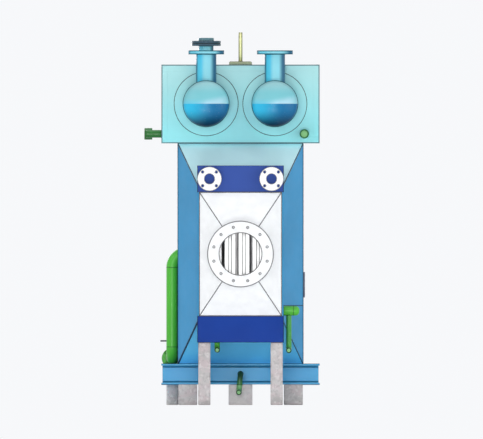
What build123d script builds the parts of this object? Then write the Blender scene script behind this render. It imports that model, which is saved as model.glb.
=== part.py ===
from build123d import *
import math
import os

# A compact water-tube heat-recovery boiler on a steel skid. Hot gas enters
# through the round neck at the rear, crosses the boiler tubes in the casing,
# is narrowed by the reducer, crosses the economiser tubes and leaves through
# the round neck at the front. Two steam drums lie above, in an insulated box.
#
# Millimetres. X to the right, -Y to the front, +Z up. The origin is on the
# floor, under the middle of the skid.

# Concrete
plinth_height = 160
plinth_length = 200
centre_plinth_width = 186
side_plinth_width = 148
side_plinth_setback = 131.5
pipe_plinth_width = 92
pipe_plinth_y = 330
column_width = 95
column_side_inset = 5.5
column_edge_inset = 10

# Skid frame, from wide-flange beams
skid_width = 1235
skid_length = 1200
beam_height = 160
beam_flange_width = 160
beam_flange = 13
beam_web = 8
web_end_setback = 9

# Boiler casing
casing_width = 975
casing_length = 1000
casing_height = 1721
casing_wall = 50
boiler_tube_diameter = 51
boiler_tube_wall = 4
boiler_tube_pitch = 92
boiler_tube_row_pitch = 120
boiler_tube_rows = 2
boiler_tube_side_clearance = 40
boiler_tube_first_row_y = 360

# Inspection hatch on the right wall
hatch_bore = 150
hatch_cover_diameter = 200
hatch_cover_thickness = 15
hatch_cover_chamfer = 3
hatch_z = 938
hatch_y = 60

# Reducer between casing and economiser
reducer_length = 300
reducer_plate = 12
reducer_side_inset = 7
reducer_end_height = 1041
reducer_end_z = 1183

# Economiser
economiser_width = 670
economiser_length = 400
economiser_bottom = 488
lower_box_height = 206
gas_height = 967
upper_box_height = 207
economiser_wall = 20
economiser_tube_diameter = 38
economiser_tube_wall = 3
economiser_tube_side_gap = 24.5
economiser_row_pitch = 75
economiser_tubes_per_row = 11
economiser_first_row_offset = 50

# Water nozzles on the upper box
water_nozzle_setback = 93
water_nozzle_z = 1764
water_nozzle_reach = 60
water_pipe_diameter = 88.9
water_bore = 78
water_flange_diameter = 190.5
water_flange_thickness = 24
water_bolt_circle = 152.4
water_bolt_hole = 19
water_bolt_count = 4

# Outlet hood and neck
hood_side_inset = 13.5
hood_length = 230
hood_plate = 8
hood_small_end_ratio = 0.4
outlet_neck_diameter = 356
outlet_bore = 340
outlet_neck_reach = 70
outlet_root_depth = 65
outlet_flange_diameter = 520
outlet_flange_thickness = 24
outlet_bolt_circle = 430
outlet_bolt_hole = 22
outlet_bolt_count = 12

# Inlet hood and neck
inlet_hood_length = 350
inlet_small_end_ratio = 0.31
inlet_neck_diameter = 508
inlet_bore = 492
inlet_neck_reach = 80
inlet_root_depth = 130
inlet_flange_diameter = 670
inlet_flange_thickness = 24
inlet_bolt_circle = 620
inlet_bolt_hole = 26
inlet_bolt_count = 12

# Drum enclosure
enclosure_width = 1234
enclosure_length = 1120
enclosure_height = 614
enclosure_panel = 50

# Steam drums
drum_x = 268
drum_z = 2350
drum_diameter = 355.6
drum_wall = 12
drum_projection = 230
head_crown_share = 0.8
head_knuckle_share = 0.154
drum_fit = 0.3
collar_diameter = 495
collar_thickness = 14

# Drum nozzles
drum_pipe_diameter = 159
drum_pipe_bore = 147
drum_nozzle_setout = 110
drum_flange_diameter = 280
drum_flange_thickness = 31
drum_flange_top = 2766
drum_bolt_circle = 240
drum_bolt_hole = 23
drum_bolt_count = 8

# Vent nozzle behind the left drum nozzle
vent_y = -330
vent_pipe_diameter = 114.3
vent_pipe_bore = 102
vent_flange_diameter = 229
vent_flange_thickness = 18
vent_gasket_thickness = 3
vent_gasket_diameter = 221
vent_face_z = 2819
vent_cap_diameter = 122
vent_cap_height = 24
vent_cap_chamfer = 6

# Lifting lugs
lug_thickness = 30
lug_width = 94
lug_top = 2907
lug_eye = 50
lug_y = 360
lug_base_width = 178
lug_base_length = 170
lug_base_thickness = 25
lug_base_chamfer = 8

# Stubs of the drum enclosure
stub_z = 2115
stub_diameter = 60.3
stub_bore = 50
side_stub_reach = 120
front_side_stub_y = -330
rear_side_stub_y = 210
stub_socket_diameter = 91
stub_socket_length = 62
stub_socket_overhang = 13
front_stub_setout = 230
front_stub_diameter = 70
front_stub_reach = 55
front_stub_face = 53
front_stub_recess = 6

# Green pipe on the left: out of the casing, down, and back along the skid
riser_setout = 46.5
riser_y = -200
riser_diameter = 88.9
riser_bore = 80
riser_top_leg_z = 1188
elbow_radius = 114
foot_elbow_radius = 89
return_pipe_overrun = 80
return_flange_diameter = 160
return_flange_thickness = 20
return_bolt_circle = 126
return_bolt_hole = 16
return_bolt_count = 4
bracket_z = 500
bracket_thickness = 12
bracket_depth = 40
bracket_reach = 137

# Side header of the economiser, its cap and its drop pipe
header_diameter = 76.1
header_bore = 68
header_z = 735
header_y = -1000
header_length = 78
header_cap_length = 47
header_cap_radius = 32
drop_setout = 42
drop_diameter = 42.4
drop_bore = 34
drop_bottom_z = 426
drop_elbow_radius = 40
drop_end_reach = 30

# Economiser drain
drain_x = -182
drain_z = 429
drain_diameter = 42.4
drain_bore = 34
drain_elbow_radius = 40
drain_end_reach = 30

# Blow-down pipe of the casing, through the web of the front beam
blowdown_z = 242
blowdown_diameter = 42.4
blowdown_bore = 34
blowdown_elbow_radius = 38
blowdown_setout = 60
blowdown_end_x = -13
blowdown_end_z = 98
blowdown_end_reach = 25

# Plugs in the ends of the three pipes above
plug_recess = 3
plug_length = 12

# Levels and faces that follow from the sizes above
skid_bottom = plinth_height
beam_middle_z = skid_bottom + beam_height / 2
skid_top = skid_bottom + beam_height
casing_bottom = skid_top
casing_top = casing_bottom + casing_height
casing_half = casing_width / 2
casing_front = -casing_length / 2
casing_rear = casing_length / 2
enclosure_bottom = casing_top
enclosure_top = enclosure_bottom + enclosure_height
enclosure_half = enclosure_width / 2
enclosure_front_y = -enclosure_length / 2
enclosure_rear_y = enclosure_length / 2
skid_front = -skid_length / 2
skid_rear = skid_length / 2
beam_y = skid_length / 2 - beam_flange_width / 2
side_beam_length = skid_length - 2 * beam_flange_width
side_beam_x = skid_width / 2 - beam_flange_width / 2
economiser_rear = casing_front - reducer_length
economiser_front = economiser_rear - economiser_length
economiser_half = economiser_width / 2
gas_bottom = economiser_bottom + lower_box_height
gas_top = gas_bottom + gas_height
gas_z = (gas_bottom + gas_top) / 2
hood_front = economiser_front - hood_length
outlet_face = hood_front - outlet_neck_reach
inlet_hood_rear = casing_rear + inlet_hood_length
inlet_face = inlet_hood_rear + inlet_neck_reach
inlet_z = casing_bottom + casing_height / 2
drum_radius = drum_diameter / 2
drum_half_length = enclosure_length / 2 + drum_projection
drum_nozzle_y = enclosure_front_y - drum_nozzle_setout
side_plinth_edge = skid_width / 2 - side_plinth_setback
side_plinth_x = side_plinth_edge - side_plinth_width / 2
column_x = economiser_half - column_side_inset - column_width / 2
water_nozzle_x = economiser_half - water_nozzle_setback
front_stub_x = drum_x + front_stub_setout
drop_x = economiser_half + drop_setout
lug_base_top = enclosure_top + lug_base_thickness
riser_x = -casing_half - riser_setout
riser_radius = riser_diameter / 2
return_z = skid_top + riser_radius
return_end = skid_rear + return_pipe_overrun

os.makedirs("parts", exist_ok=True)


def upright(y):
    """The plane that faces the front at the distance y, with X across and Z up."""
    return Plane.XZ.offset(-y)


def duct_section(y, half_width, bottom, top):
    """A rectangle across the gas path, centred on the boiler's centre line."""
    with BuildSketch(upright(y)) as section:
        with Locations((0, (bottom + top) / 2)):
            Rectangle(2 * half_width, top - bottom)
    return section.sketch


def ring_section(plane, places, outer, inner):
    """Rings of the same two diameters at each of the places."""
    with BuildSketch(plane) as section:
        with Locations(*places):
            Circle(outer / 2)
            Circle(inner / 2, mode=Mode.SUBTRACT)
    return section.sketch


def flange_section(plane, places, outer, bore, bolt_circle, hole, count):
    """Bolted pipe flanges, their holes astride the vertical centre line."""
    first_hole = 180 / count
    with BuildSketch(plane) as section:
        with Locations(*places):
            Circle(outer / 2)
            Circle(bore / 2, mode=Mode.SUBTRACT)
        for place in places:
            with Locations(place):
                with PolarLocations(bolt_circle / 2, count, first_hole):
                    Circle(hole / 2, mode=Mode.SUBTRACT)
    return section.sketch


def beam_section(plane):
    """A wide-flange beam's section, its middle at the plane's origin."""
    flange_rise = (beam_height - beam_flange) / 2
    with BuildSketch(plane) as section:
        Rectangle(beam_web, beam_height)
        with Locations((0, flange_rise), (0, -flange_rise)):
            Rectangle(beam_flange_width, beam_flange)
    return section.sketch


# Concrete plinths in three rows under the skid
with BuildPart() as plinths:
    with BuildSketch():
        for row_y in (-beam_y, 0, beam_y):
            with Locations((-side_plinth_x, row_y), (side_plinth_x, row_y)):
                Rectangle(side_plinth_width, plinth_length)
            with Locations((0, row_y)):
                Rectangle(centre_plinth_width, plinth_length)
    extrude(amount=plinth_height)
plinths.part.label = "plinths"
export_step(plinths.part, "parts/plinths.step")

# The narrow plinth under the skid below the green pipe
with BuildPart() as pipe_plinth:
    with BuildSketch():
        with Locations((-side_plinth_edge - pipe_plinth_width / 2, pipe_plinth_y)):
            Rectangle(pipe_plinth_width, plinth_length)
    extrude(amount=plinth_height)
pipe_plinth.part.label = "pipe_plinth"
export_step(pipe_plinth.part, "parts/pipe_plinth.step")

# Four concrete columns under the economiser
column_rear_y = economiser_rear - column_edge_inset - column_width / 2
column_front_y = economiser_front + column_edge_inset + column_width / 2
with BuildPart() as columns:
    with BuildSketch():
        for row_y in (column_front_y, column_rear_y):
            with Locations((-column_x, row_y), (column_x, row_y)):
                Rectangle(column_width, column_width)
    extrude(amount=economiser_bottom)
columns.part.label = "columns"
export_step(columns.part, "parts/columns.step")

# Front beam, with the blow-down pipe's hole through its web
web_clear_height = beam_height - 2 * beam_flange
web_end_x = (skid_width - web_end_setback) / 2
front_beam_start = Plane(origin=(-skid_width / 2, -beam_y, beam_middle_z), x_dir=(0, 1, 0), z_dir=(1, 0, 0))
with BuildPart() as skid_front_beam:
    extrude(beam_section(front_beam_start), amount=skid_width)
    with Locations((-web_end_x, -beam_y, beam_middle_z), (web_end_x, -beam_y, beam_middle_z)):
        Box(web_end_setback, beam_web, web_clear_height, mode=Mode.SUBTRACT)
    with BuildSketch(upright(-beam_y + beam_web)):
        with Locations((0, blowdown_z)):
            Circle(blowdown_diameter / 2)
    extrude(amount=2 * beam_web, mode=Mode.SUBTRACT)
skid_front_beam.part.label = "skid_front_beam"
export_step(skid_front_beam.part, "parts/skid_front_beam.step")

# Rear beam
rear_beam_start = Plane(origin=(-skid_width / 2, beam_y, beam_middle_z), x_dir=(0, 1, 0), z_dir=(1, 0, 0))
with BuildPart() as skid_rear_beam:
    extrude(beam_section(rear_beam_start), amount=skid_width)
    with Locations((-web_end_x, beam_y, beam_middle_z), (web_end_x, beam_y, beam_middle_z)):
        Box(web_end_setback, beam_web, web_clear_height, mode=Mode.SUBTRACT)
skid_rear_beam.part.label = "skid_rear_beam"
export_step(skid_rear_beam.part, "parts/skid_rear_beam.step")

# Side beams, butted between the end beams
with BuildPart() as skid_side_beams:
    for side in (-1, 1):
        side_beam_start = Plane(
            origin=(side * side_beam_x, side_beam_length / 2, beam_middle_z),
            x_dir=(1, 0, 0),
            z_dir=(0, -1, 0),
        )
        extrude(beam_section(side_beam_start), amount=side_beam_length)
skid_side_beams.part.label = "skid_side_beams"
export_step(skid_side_beams.part, "parts/skid_side_beams.step")

# Cross beam over the middle row of plinths
cross_beam_length = 2 * (side_beam_x - beam_flange_width / 2)
cross_beam_start = Plane(origin=(-cross_beam_length / 2, 0, beam_middle_z), x_dir=(0, 1, 0), z_dir=(1, 0, 0))
with BuildPart() as skid_cross_beam:
    extrude(beam_section(cross_beam_start), amount=cross_beam_length)
skid_cross_beam.part.label = "skid_cross_beam"
export_step(skid_cross_beam.part, "parts/skid_cross_beam.step")

# Casing floor and roof, the full width and length of the casing
with BuildPart() as casing_floor:
    with BuildSketch(Plane.XY.offset(casing_bottom)):
        Rectangle(casing_width, casing_length)
    extrude(amount=casing_wall)
casing_floor.part.label = "casing_floor"
export_step(casing_floor.part, "parts/casing_floor.step")

with BuildPart() as casing_roof:
    with BuildSketch(Plane.XY.offset(casing_top - casing_wall)):
        Rectangle(casing_width, casing_length)
    extrude(amount=casing_wall)
casing_roof.part.label = "casing_roof"
export_step(casing_roof.part, "parts/casing_roof.step")

# Casing walls, between floor and roof
side_wall_height = casing_height - 2 * casing_wall
side_wall_x = casing_half - casing_wall / 2
with BuildPart() as casing_left_wall:
    with BuildSketch(Plane.XY.offset(casing_bottom + casing_wall)):
        with Locations((-side_wall_x, 0)):
            Rectangle(casing_wall, casing_length)
    extrude(amount=side_wall_height)
casing_left_wall.part.label = "casing_left_wall"
export_step(casing_left_wall.part, "parts/casing_left_wall.step")

hatch_plane = Plane(origin=(casing_half, hatch_y, hatch_z), x_dir=(0, 1, 0), z_dir=(1, 0, 0))
with BuildPart() as casing_right_wall:
    with BuildSketch(Plane.XY.offset(casing_bottom + casing_wall)):
        with Locations((side_wall_x, 0)):
            Rectangle(casing_wall, casing_length)
    extrude(amount=side_wall_height)
    with BuildSketch(hatch_plane):
        Circle(hatch_bore / 2)
    extrude(amount=-casing_wall, mode=Mode.SUBTRACT)
casing_right_wall.part.label = "casing_right_wall"
export_step(casing_right_wall.part, "parts/casing_right_wall.step")

# Round cover bolted over the inspection hole
with BuildPart() as hatch_cover:
    with BuildSketch(hatch_plane):
        Circle(hatch_cover_diameter / 2)
    extrude(amount=hatch_cover_thickness)
    hatch_rim = hatch_cover.faces().sort_by(Axis.X)[-1].edges()
    chamfer(hatch_rim, length=hatch_cover_chamfer)
hatch_cover.part.label = "hatch_cover"
export_step(hatch_cover.part, "parts/hatch_cover.step")

# Boiler tubes, upright between floor and roof, each row shifted by half a pitch
boiler_tube_places = []
boiler_tube_space = casing_width - 2 * casing_wall - 2 * boiler_tube_side_clearance
boiler_tubes_per_row = int((boiler_tube_space - boiler_tube_diameter) / boiler_tube_pitch) + 1
for row in range(boiler_tube_rows):
    row_count = boiler_tubes_per_row - row % 2
    row_y = boiler_tube_first_row_y - row * boiler_tube_row_pitch
    for place in range(row_count):
        tube_x = (place - (row_count - 1) / 2) * boiler_tube_pitch
        boiler_tube_places.append((tube_x, row_y))
with BuildPart() as boiler_tubes:
    extrude(
        ring_section(
            Plane.XY.offset(casing_bottom + casing_wall),
            boiler_tube_places,
            boiler_tube_diameter,
            boiler_tube_diameter - 2 * boiler_tube_wall,
        ),
        amount=side_wall_height,
    )
boiler_tubes.part.label = "boiler_tubes"
export_step(boiler_tubes.part, "parts/boiler_tubes.step")

# Reducer: four sloping plates from the casing's front edge to the economiser
reducer_end_half = economiser_half - reducer_side_inset
reducer_end_bottom = reducer_end_z - reducer_end_height / 2
reducer_end_top = reducer_end_z + reducer_end_height / 2
with BuildPart() as reducer_top:
    loft(
        [
            duct_section(casing_front, casing_half, casing_top - reducer_plate, casing_top),
            duct_section(
                economiser_rear, reducer_end_half, reducer_end_top - reducer_plate, reducer_end_top
            ),
        ],
        ruled=True,
    )
reducer_top.part.label = "reducer_top"
export_step(reducer_top.part, "parts/reducer_top.step")

with BuildPart() as reducer_bottom:
    loft(
        [
            duct_section(casing_front, casing_half, casing_bottom, casing_bottom + reducer_plate),
            duct_section(
                economiser_rear, reducer_end_half, reducer_end_bottom, reducer_end_bottom + reducer_plate
            ),
        ],
        ruled=True,
    )
reducer_bottom.part.label = "reducer_bottom"
export_step(reducer_bottom.part, "parts/reducer_bottom.step")

with BuildPart() as reducer_sides:
    for side in (-1, 1):
        with BuildSketch(upright(casing_front)):
            with Locations((side * (casing_half - reducer_plate / 2), inlet_z)):
                Rectangle(reducer_plate, casing_height - 2 * reducer_plate)
        with BuildSketch(upright(economiser_rear)):
            with Locations((side * (reducer_end_half - reducer_plate / 2), reducer_end_z)):
                Rectangle(reducer_plate, reducer_end_height - 2 * reducer_plate)
        loft(ruled=True)
reducer_sides.part.label = "reducer_sides"
export_step(reducer_sides.part, "parts/reducer_sides.step")

# Economiser header boxes, closed housings over and under the gas path
with BuildPart() as economiser_lower_box:
    with Locations((0, (economiser_rear + economiser_front) / 2, economiser_bottom)):
        Box(
            economiser_width,
            economiser_length,
            lower_box_height,
            align=(Align.CENTER, Align.CENTER, Align.MIN),
        )
economiser_lower_box.part.label = "economiser_lower_box"
export_step(economiser_lower_box.part, "parts/economiser_lower_box.step")

with BuildPart() as economiser_upper_box:
    with Locations((0, (economiser_rear + economiser_front) / 2, gas_top)):
        Box(
            economiser_width,
            economiser_length,
            upper_box_height,
            align=(Align.CENTER, Align.CENTER, Align.MIN),
        )
economiser_upper_box.part.label = "economiser_upper_box"
export_step(economiser_upper_box.part, "parts/economiser_upper_box.step")

# Economiser side walls
with BuildPart() as economiser_walls:
    with BuildSketch(Plane.XY.offset(gas_bottom)):
        wall_x = economiser_half - economiser_wall / 2
        wall_y = (economiser_rear + economiser_front) / 2
        with Locations((-wall_x, wall_y), (wall_x, wall_y)):
            Rectangle(economiser_wall, economiser_length)
    extrude(amount=gas_height)
economiser_walls.part.label = "economiser_walls"
export_step(economiser_walls.part, "parts/economiser_walls.step")

# Economiser tubes: full rows at front and rear, and every other gap filled between
economiser_inner_width = economiser_width - 2 * economiser_wall
economiser_tube_span = economiser_inner_width - 2 * economiser_tube_side_gap - economiser_tube_diameter
economiser_tube_pitch = economiser_tube_span / (economiser_tubes_per_row - 1)
full_row = [place - (economiser_tubes_per_row - 1) / 2 for place in range(economiser_tubes_per_row)]
gap_row = [place + 0.5 for place in full_row[1::2]]
economiser_tube_places = []
for row, row_steps in enumerate((full_row, gap_row, full_row)):
    row_y = economiser_front + economiser_first_row_offset + row * economiser_row_pitch
    for step in row_steps:
        economiser_tube_places.append((step * economiser_tube_pitch, row_y))
with BuildPart() as economiser_tubes:
    extrude(
        ring_section(
            Plane.XY.offset(gas_bottom),
            economiser_tube_places,
            economiser_tube_diameter,
            economiser_tube_diameter - 2 * economiser_tube_wall,
        ),
        amount=gas_height,
    )
economiser_tubes.part.label = "economiser_tubes"
export_step(economiser_tubes.part, "parts/economiser_tubes.step")

# Flanged water nozzles on the front of the upper box
water_nozzle_places = [(-water_nozzle_x, water_nozzle_z), (water_nozzle_x, water_nozzle_z)]
with BuildPart() as water_nozzles:
    extrude(
        ring_section(upright(economiser_front), water_nozzle_places, water_pipe_diameter, water_bore),
        amount=water_nozzle_reach,
    )
    extrude(
        flange_section(
            upright(economiser_front - water_nozzle_reach + water_flange_thickness),
            water_nozzle_places,
            water_flange_diameter,
            water_bore,
            water_bolt_circle,
            water_bolt_hole,
            water_bolt_count,
        ),
        amount=water_flange_thickness,
    )
water_nozzles.part.label = "water_nozzles"
export_step(water_nozzles.part, "parts/water_nozzles.step")

# Outlet hood: a four-sided plate pyramid, open for the round neck
hood_half_width = economiser_half - hood_side_inset
hood_half_height = gas_height / 2
hood_end_half_width = hood_half_width * hood_small_end_ratio
hood_end_half_height = hood_half_height * hood_small_end_ratio
hood_side_skin = hood_plate * math.hypot(1, (hood_half_width - hood_end_half_width) / hood_length)
hood_top_skin = hood_plate * math.hypot(1, (hood_half_height - hood_end_half_height) / hood_length)
hood_end_back = hood_front + hood_plate
hood_end_grow = hood_plate / hood_length
hood_inner_end_half_width = (
    hood_end_half_width + hood_end_grow * (hood_half_width - hood_end_half_width) - hood_side_skin
)
hood_inner_end_half_height = (
    hood_end_half_height + hood_end_grow * (hood_half_height - hood_end_half_height) - hood_top_skin
)
with BuildPart() as outlet_hood:
    loft(
        [
            duct_section(economiser_front, hood_half_width, gas_bottom, gas_top),
            duct_section(
                hood_front,
                hood_end_half_width,
                gas_z - hood_end_half_height,
                gas_z + hood_end_half_height,
            ),
        ],
        ruled=True,
    )
    loft(
        [
            duct_section(
                economiser_front,
                hood_half_width - hood_side_skin,
                gas_bottom + hood_top_skin,
                gas_top - hood_top_skin,
            ),
            duct_section(
                hood_end_back,
                hood_inner_end_half_width,
                gas_z - hood_inner_end_half_height,
                gas_z + hood_inner_end_half_height,
            ),
        ],
        ruled=True,
        mode=Mode.SUBTRACT,
    )
    with BuildSketch(upright(economiser_front)):
        with Locations((0, gas_z)):
            Circle(outlet_neck_diameter / 2)
    extrude(amount=hood_length, mode=Mode.SUBTRACT)
outlet_hood.part.label = "outlet_hood"
export_step(outlet_hood.part, "parts/outlet_hood.step")

# Outlet neck, which ends plain inside the hood, and the flange welded round it
outlet_neck_root = hood_front + outlet_root_depth
with BuildPart() as outlet_neck:
    extrude(
        ring_section(upright(outlet_neck_root), [(0, gas_z)], outlet_neck_diameter, outlet_bore),
        amount=outlet_neck_root - outlet_face,
    )
outlet_neck.part.label = "outlet_neck"
export_step(outlet_neck.part, "parts/outlet_neck.step")

with BuildPart() as outlet_flange:
    extrude(
        flange_section(
            upright(outlet_face + outlet_flange_thickness),
            [(0, gas_z)],
            outlet_flange_diameter,
            outlet_neck_diameter,
            outlet_bolt_circle,
            outlet_bolt_hole,
            outlet_bolt_count,
        ),
        amount=outlet_flange_thickness,
    )
outlet_flange.part.label = "outlet_flange"
export_step(outlet_flange.part, "parts/outlet_flange.step")

# Inlet hood at the rear, made like the outlet hood
inlet_half_height = casing_height / 2
inlet_end_half_width = casing_half * inlet_small_end_ratio
inlet_end_half_height = inlet_half_height * inlet_small_end_ratio
inlet_side_skin = hood_plate * math.hypot(1, (casing_half - inlet_end_half_width) / inlet_hood_length)
inlet_top_skin = hood_plate * math.hypot(
    1, (inlet_half_height - inlet_end_half_height) / inlet_hood_length
)
inlet_end_grow = hood_plate / inlet_hood_length
inlet_inner_end_half_width = (
    inlet_end_half_width + inlet_end_grow * (casing_half - inlet_end_half_width) - inlet_side_skin
)
inlet_inner_end_half_height = (
    inlet_end_half_height + inlet_end_grow * (inlet_half_height - inlet_end_half_height) - inlet_top_skin
)
with BuildPart() as inlet_hood:
    loft(
        [
            duct_section(casing_rear, casing_half, casing_bottom, casing_top),
            duct_section(
                inlet_hood_rear,
                inlet_end_half_width,
                inlet_z - inlet_end_half_height,
                inlet_z + inlet_end_half_height,
            ),
        ],
        ruled=True,
    )
    loft(
        [
            duct_section(
                casing_rear,
                casing_half - inlet_side_skin,
                casing_bottom + inlet_top_skin,
                casing_top - inlet_top_skin,
            ),
            duct_section(
                inlet_hood_rear - hood_plate,
                inlet_inner_end_half_width,
                inlet_z - inlet_inner_end_half_height,
                inlet_z + inlet_inner_end_half_height,
            ),
        ],
        ruled=True,
        mode=Mode.SUBTRACT,
    )
    with BuildSketch(upright(casing_rear)):
        with Locations((0, inlet_z)):
            Circle(inlet_neck_diameter / 2)
    extrude(amount=-inlet_hood_length, mode=Mode.SUBTRACT)
inlet_hood.part.label = "inlet_hood"
export_step(inlet_hood.part, "parts/inlet_hood.step")

# Inlet neck and flange, made like those of the outlet
inlet_neck_root = inlet_hood_rear - inlet_root_depth
with BuildPart() as inlet_neck:
    extrude(
        ring_section(upright(inlet_neck_root), [(0, inlet_z)], inlet_neck_diameter, inlet_bore),
        amount=inlet_neck_root - inlet_face,
    )
inlet_neck.part.label = "inlet_neck"
export_step(inlet_neck.part, "parts/inlet_neck.step")

with BuildPart() as inlet_flange:
    extrude(
        flange_section(
            upright(inlet_face - inlet_flange_thickness),
            [(0, inlet_z)],
            inlet_flange_diameter,
            inlet_neck_diameter,
            inlet_bolt_circle,
            inlet_bolt_hole,
            inlet_bolt_count,
        ),
        amount=-inlet_flange_thickness,
    )
inlet_flange.part.label = "inlet_flange"
export_step(inlet_flange.part, "parts/inlet_flange.step")

# Insulated enclosure round the drums: floor, roof, sides and pierced ends
with BuildPart() as enclosure_floor:
    with BuildSketch(Plane.XY.offset(enclosure_bottom)):
        Rectangle(enclosure_width, enclosure_length)
    extrude(amount=enclosure_panel)
enclosure_floor.part.label = "enclosure_floor"
export_step(enclosure_floor.part, "parts/enclosure_floor.step")

with BuildPart() as enclosure_roof:
    with BuildSketch(Plane.XY.offset(enclosure_top - enclosure_panel)):
        Rectangle(enclosure_width, enclosure_length)
        with Locations((-drum_x, vent_y)):
            Circle(vent_pipe_diameter / 2, mode=Mode.SUBTRACT)
    extrude(amount=enclosure_panel)
enclosure_roof.part.label = "enclosure_roof"
export_step(enclosure_roof.part, "parts/enclosure_roof.step")

enclosure_inside_height = enclosure_height - 2 * enclosure_panel
enclosure_middle_z = (enclosure_bottom + enclosure_top) / 2
with BuildPart() as enclosure_sides:
    with BuildSketch(Plane.XY.offset(enclosure_bottom + enclosure_panel)):
        panel_x = enclosure_half - enclosure_panel / 2
        with Locations((-panel_x, 0), (panel_x, 0)):
            Rectangle(enclosure_panel, enclosure_length)
    extrude(amount=enclosure_inside_height)
enclosure_sides.part.label = "enclosure_sides"
export_step(enclosure_sides.part, "parts/enclosure_sides.step")

drum_places = [(-drum_x, drum_z), (drum_x, drum_z)]
drum_hole_radius = drum_radius + drum_fit
for end_name, face_y, inward in (
    ("enclosure_front", enclosure_front_y, -enclosure_panel),
    ("enclosure_rear", enclosure_rear_y, enclosure_panel),
):
    with BuildPart() as enclosure_end:
        with BuildSketch(upright(face_y)):
            with Locations((0, enclosure_middle_z)):
                Rectangle(enclosure_width - 2 * enclosure_panel, enclosure_inside_height)
            with Locations(*drum_places):
                Circle(drum_hole_radius, mode=Mode.SUBTRACT)
        extrude(amount=inward)
    enclosure_end.part.label = end_name
    export_step(enclosure_end.part, f"parts/{end_name}.step")

# Flat collars round the drums, on both ends of the enclosure
with BuildPart() as drum_collars:
    for face_y, outward in ((enclosure_front_y, collar_thickness), (enclosure_rear_y, -collar_thickness)):
        extrude(
            ring_section(upright(face_y), drum_places, collar_diameter, 2 * drum_hole_radius),
            amount=outward,
        )
drum_collars.part.label = "drum_collars"
export_step(drum_collars.part, "parts/drum_collars.step")

# Drum shells, open where the nozzles stand on them
with BuildPart() as drum_shells:
    extrude(
        ring_section(
            upright(drum_half_length), drum_places, drum_diameter, drum_diameter - 2 * drum_wall
        ),
        amount=2 * drum_half_length,
    )
    with BuildSketch(Plane.XY.offset(drum_z)):
        with Locations((-drum_x, drum_nozzle_y), (drum_x, drum_nozzle_y)):
            Circle(drum_pipe_bore / 2)
        with Locations((-drum_x, vent_y)):
            Circle(vent_pipe_bore / 2)
    extrude(amount=drum_diameter, mode=Mode.SUBTRACT)
drum_shells.part.label = "drum_shells"
export_step(drum_shells.part, "parts/drum_shells.step")

# Dished heads, welded to the drum ends: a spherical crown and a rolled knuckle
crown_radius = drum_diameter * head_crown_share
knuckle_radius = drum_diameter * head_knuckle_share
knuckle_x = drum_radius - knuckle_radius
crown_setback = math.sqrt((crown_radius - knuckle_radius) ** 2 - knuckle_x**2)
head_depth = crown_radius - crown_setback
knuckle_turn = math.degrees(math.acos(knuckle_x / (crown_radius - knuckle_radius)))
with BuildPart() as drum_heads:
    for side in (-1, 1):
        for end in (-1, 1):
            head_plane = Plane(
                origin=(side * drum_x, end * drum_half_length, drum_z),
                x_dir=(1, 0, 0),
                z_dir=(0, 0, end),
            )
            with BuildSketch(head_plane):
                with BuildLine():
                    for skin in (0, drum_wall):
                        CenterArc((knuckle_x, 0), knuckle_radius - skin, 0, knuckle_turn)
                        CenterArc((0, -crown_setback), crown_radius - skin, knuckle_turn, 90 - knuckle_turn)
                    Line((0, head_depth), (0, head_depth - drum_wall))
                    Line((drum_radius - drum_wall, 0), (drum_radius, 0))
                make_face()
            revolve(axis=Axis((side * drum_x, 0, drum_z), (0, 1, 0)))
drum_heads.part.label = "drum_heads"
export_step(drum_heads.part, "parts/drum_heads.step")

# Drum nozzles: a pipe saddled on each drum, and the flange welded round its top
drum_nozzle_places = [(-drum_x, drum_nozzle_y), (drum_x, drum_nozzle_y)]
drum_cutter_plane = upright(drum_half_length)
with BuildPart() as drum_nozzles:
    extrude(
        ring_section(Plane.XY.offset(drum_z), drum_nozzle_places, drum_pipe_diameter, drum_pipe_bore),
        amount=drum_flange_top - drum_z,
    )
    with BuildSketch(drum_cutter_plane):
        with Locations(*drum_places):
            Circle(drum_radius)
    extrude(amount=2 * drum_half_length, mode=Mode.SUBTRACT)
drum_nozzles.part.label = "drum_nozzles"
export_step(drum_nozzles.part, "parts/drum_nozzles.step")

with BuildPart() as drum_flanges:
    extrude(
        flange_section(
            Plane.XY.offset(drum_flange_top - drum_flange_thickness),
            drum_nozzle_places,
            drum_flange_diameter,
            drum_pipe_diameter,
            drum_bolt_circle,
            drum_bolt_hole,
            drum_bolt_count,
        ),
        amount=drum_flange_thickness,
    )
drum_flanges.part.label = "drum_flanges"
export_step(drum_flanges.part, "parts/drum_flanges.step")

# Vent nozzle through the enclosure roof, with its flange
vent_places = [(-drum_x, vent_y)]
with BuildPart() as vent_nozzle:
    extrude(
        ring_section(Plane.XY.offset(drum_z), vent_places, vent_pipe_diameter, vent_pipe_bore),
        amount=vent_face_z - drum_z,
    )
    extrude(
        ring_section(
            Plane.XY.offset(vent_face_z - vent_flange_thickness),
            vent_places,
            vent_flange_diameter,
            vent_pipe_bore,
        ),
        amount=vent_flange_thickness,
    )
    with BuildSketch(drum_cutter_plane):
        with Locations(*drum_places):
            Circle(drum_radius)
    extrude(amount=2 * drum_half_length, mode=Mode.SUBTRACT)
vent_nozzle.part.label = "vent_nozzle"
export_step(vent_nozzle.part, "parts/vent_nozzle.step")

# Gasket, blind flange and cap over the vent nozzle
with BuildPart() as vent_gasket:
    extrude(
        ring_section(Plane.XY.offset(vent_face_z), vent_places, vent_gasket_diameter, vent_pipe_bore),
        amount=vent_gasket_thickness,
    )
vent_gasket.part.label = "vent_gasket"
export_step(vent_gasket.part, "parts/vent_gasket.step")

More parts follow.
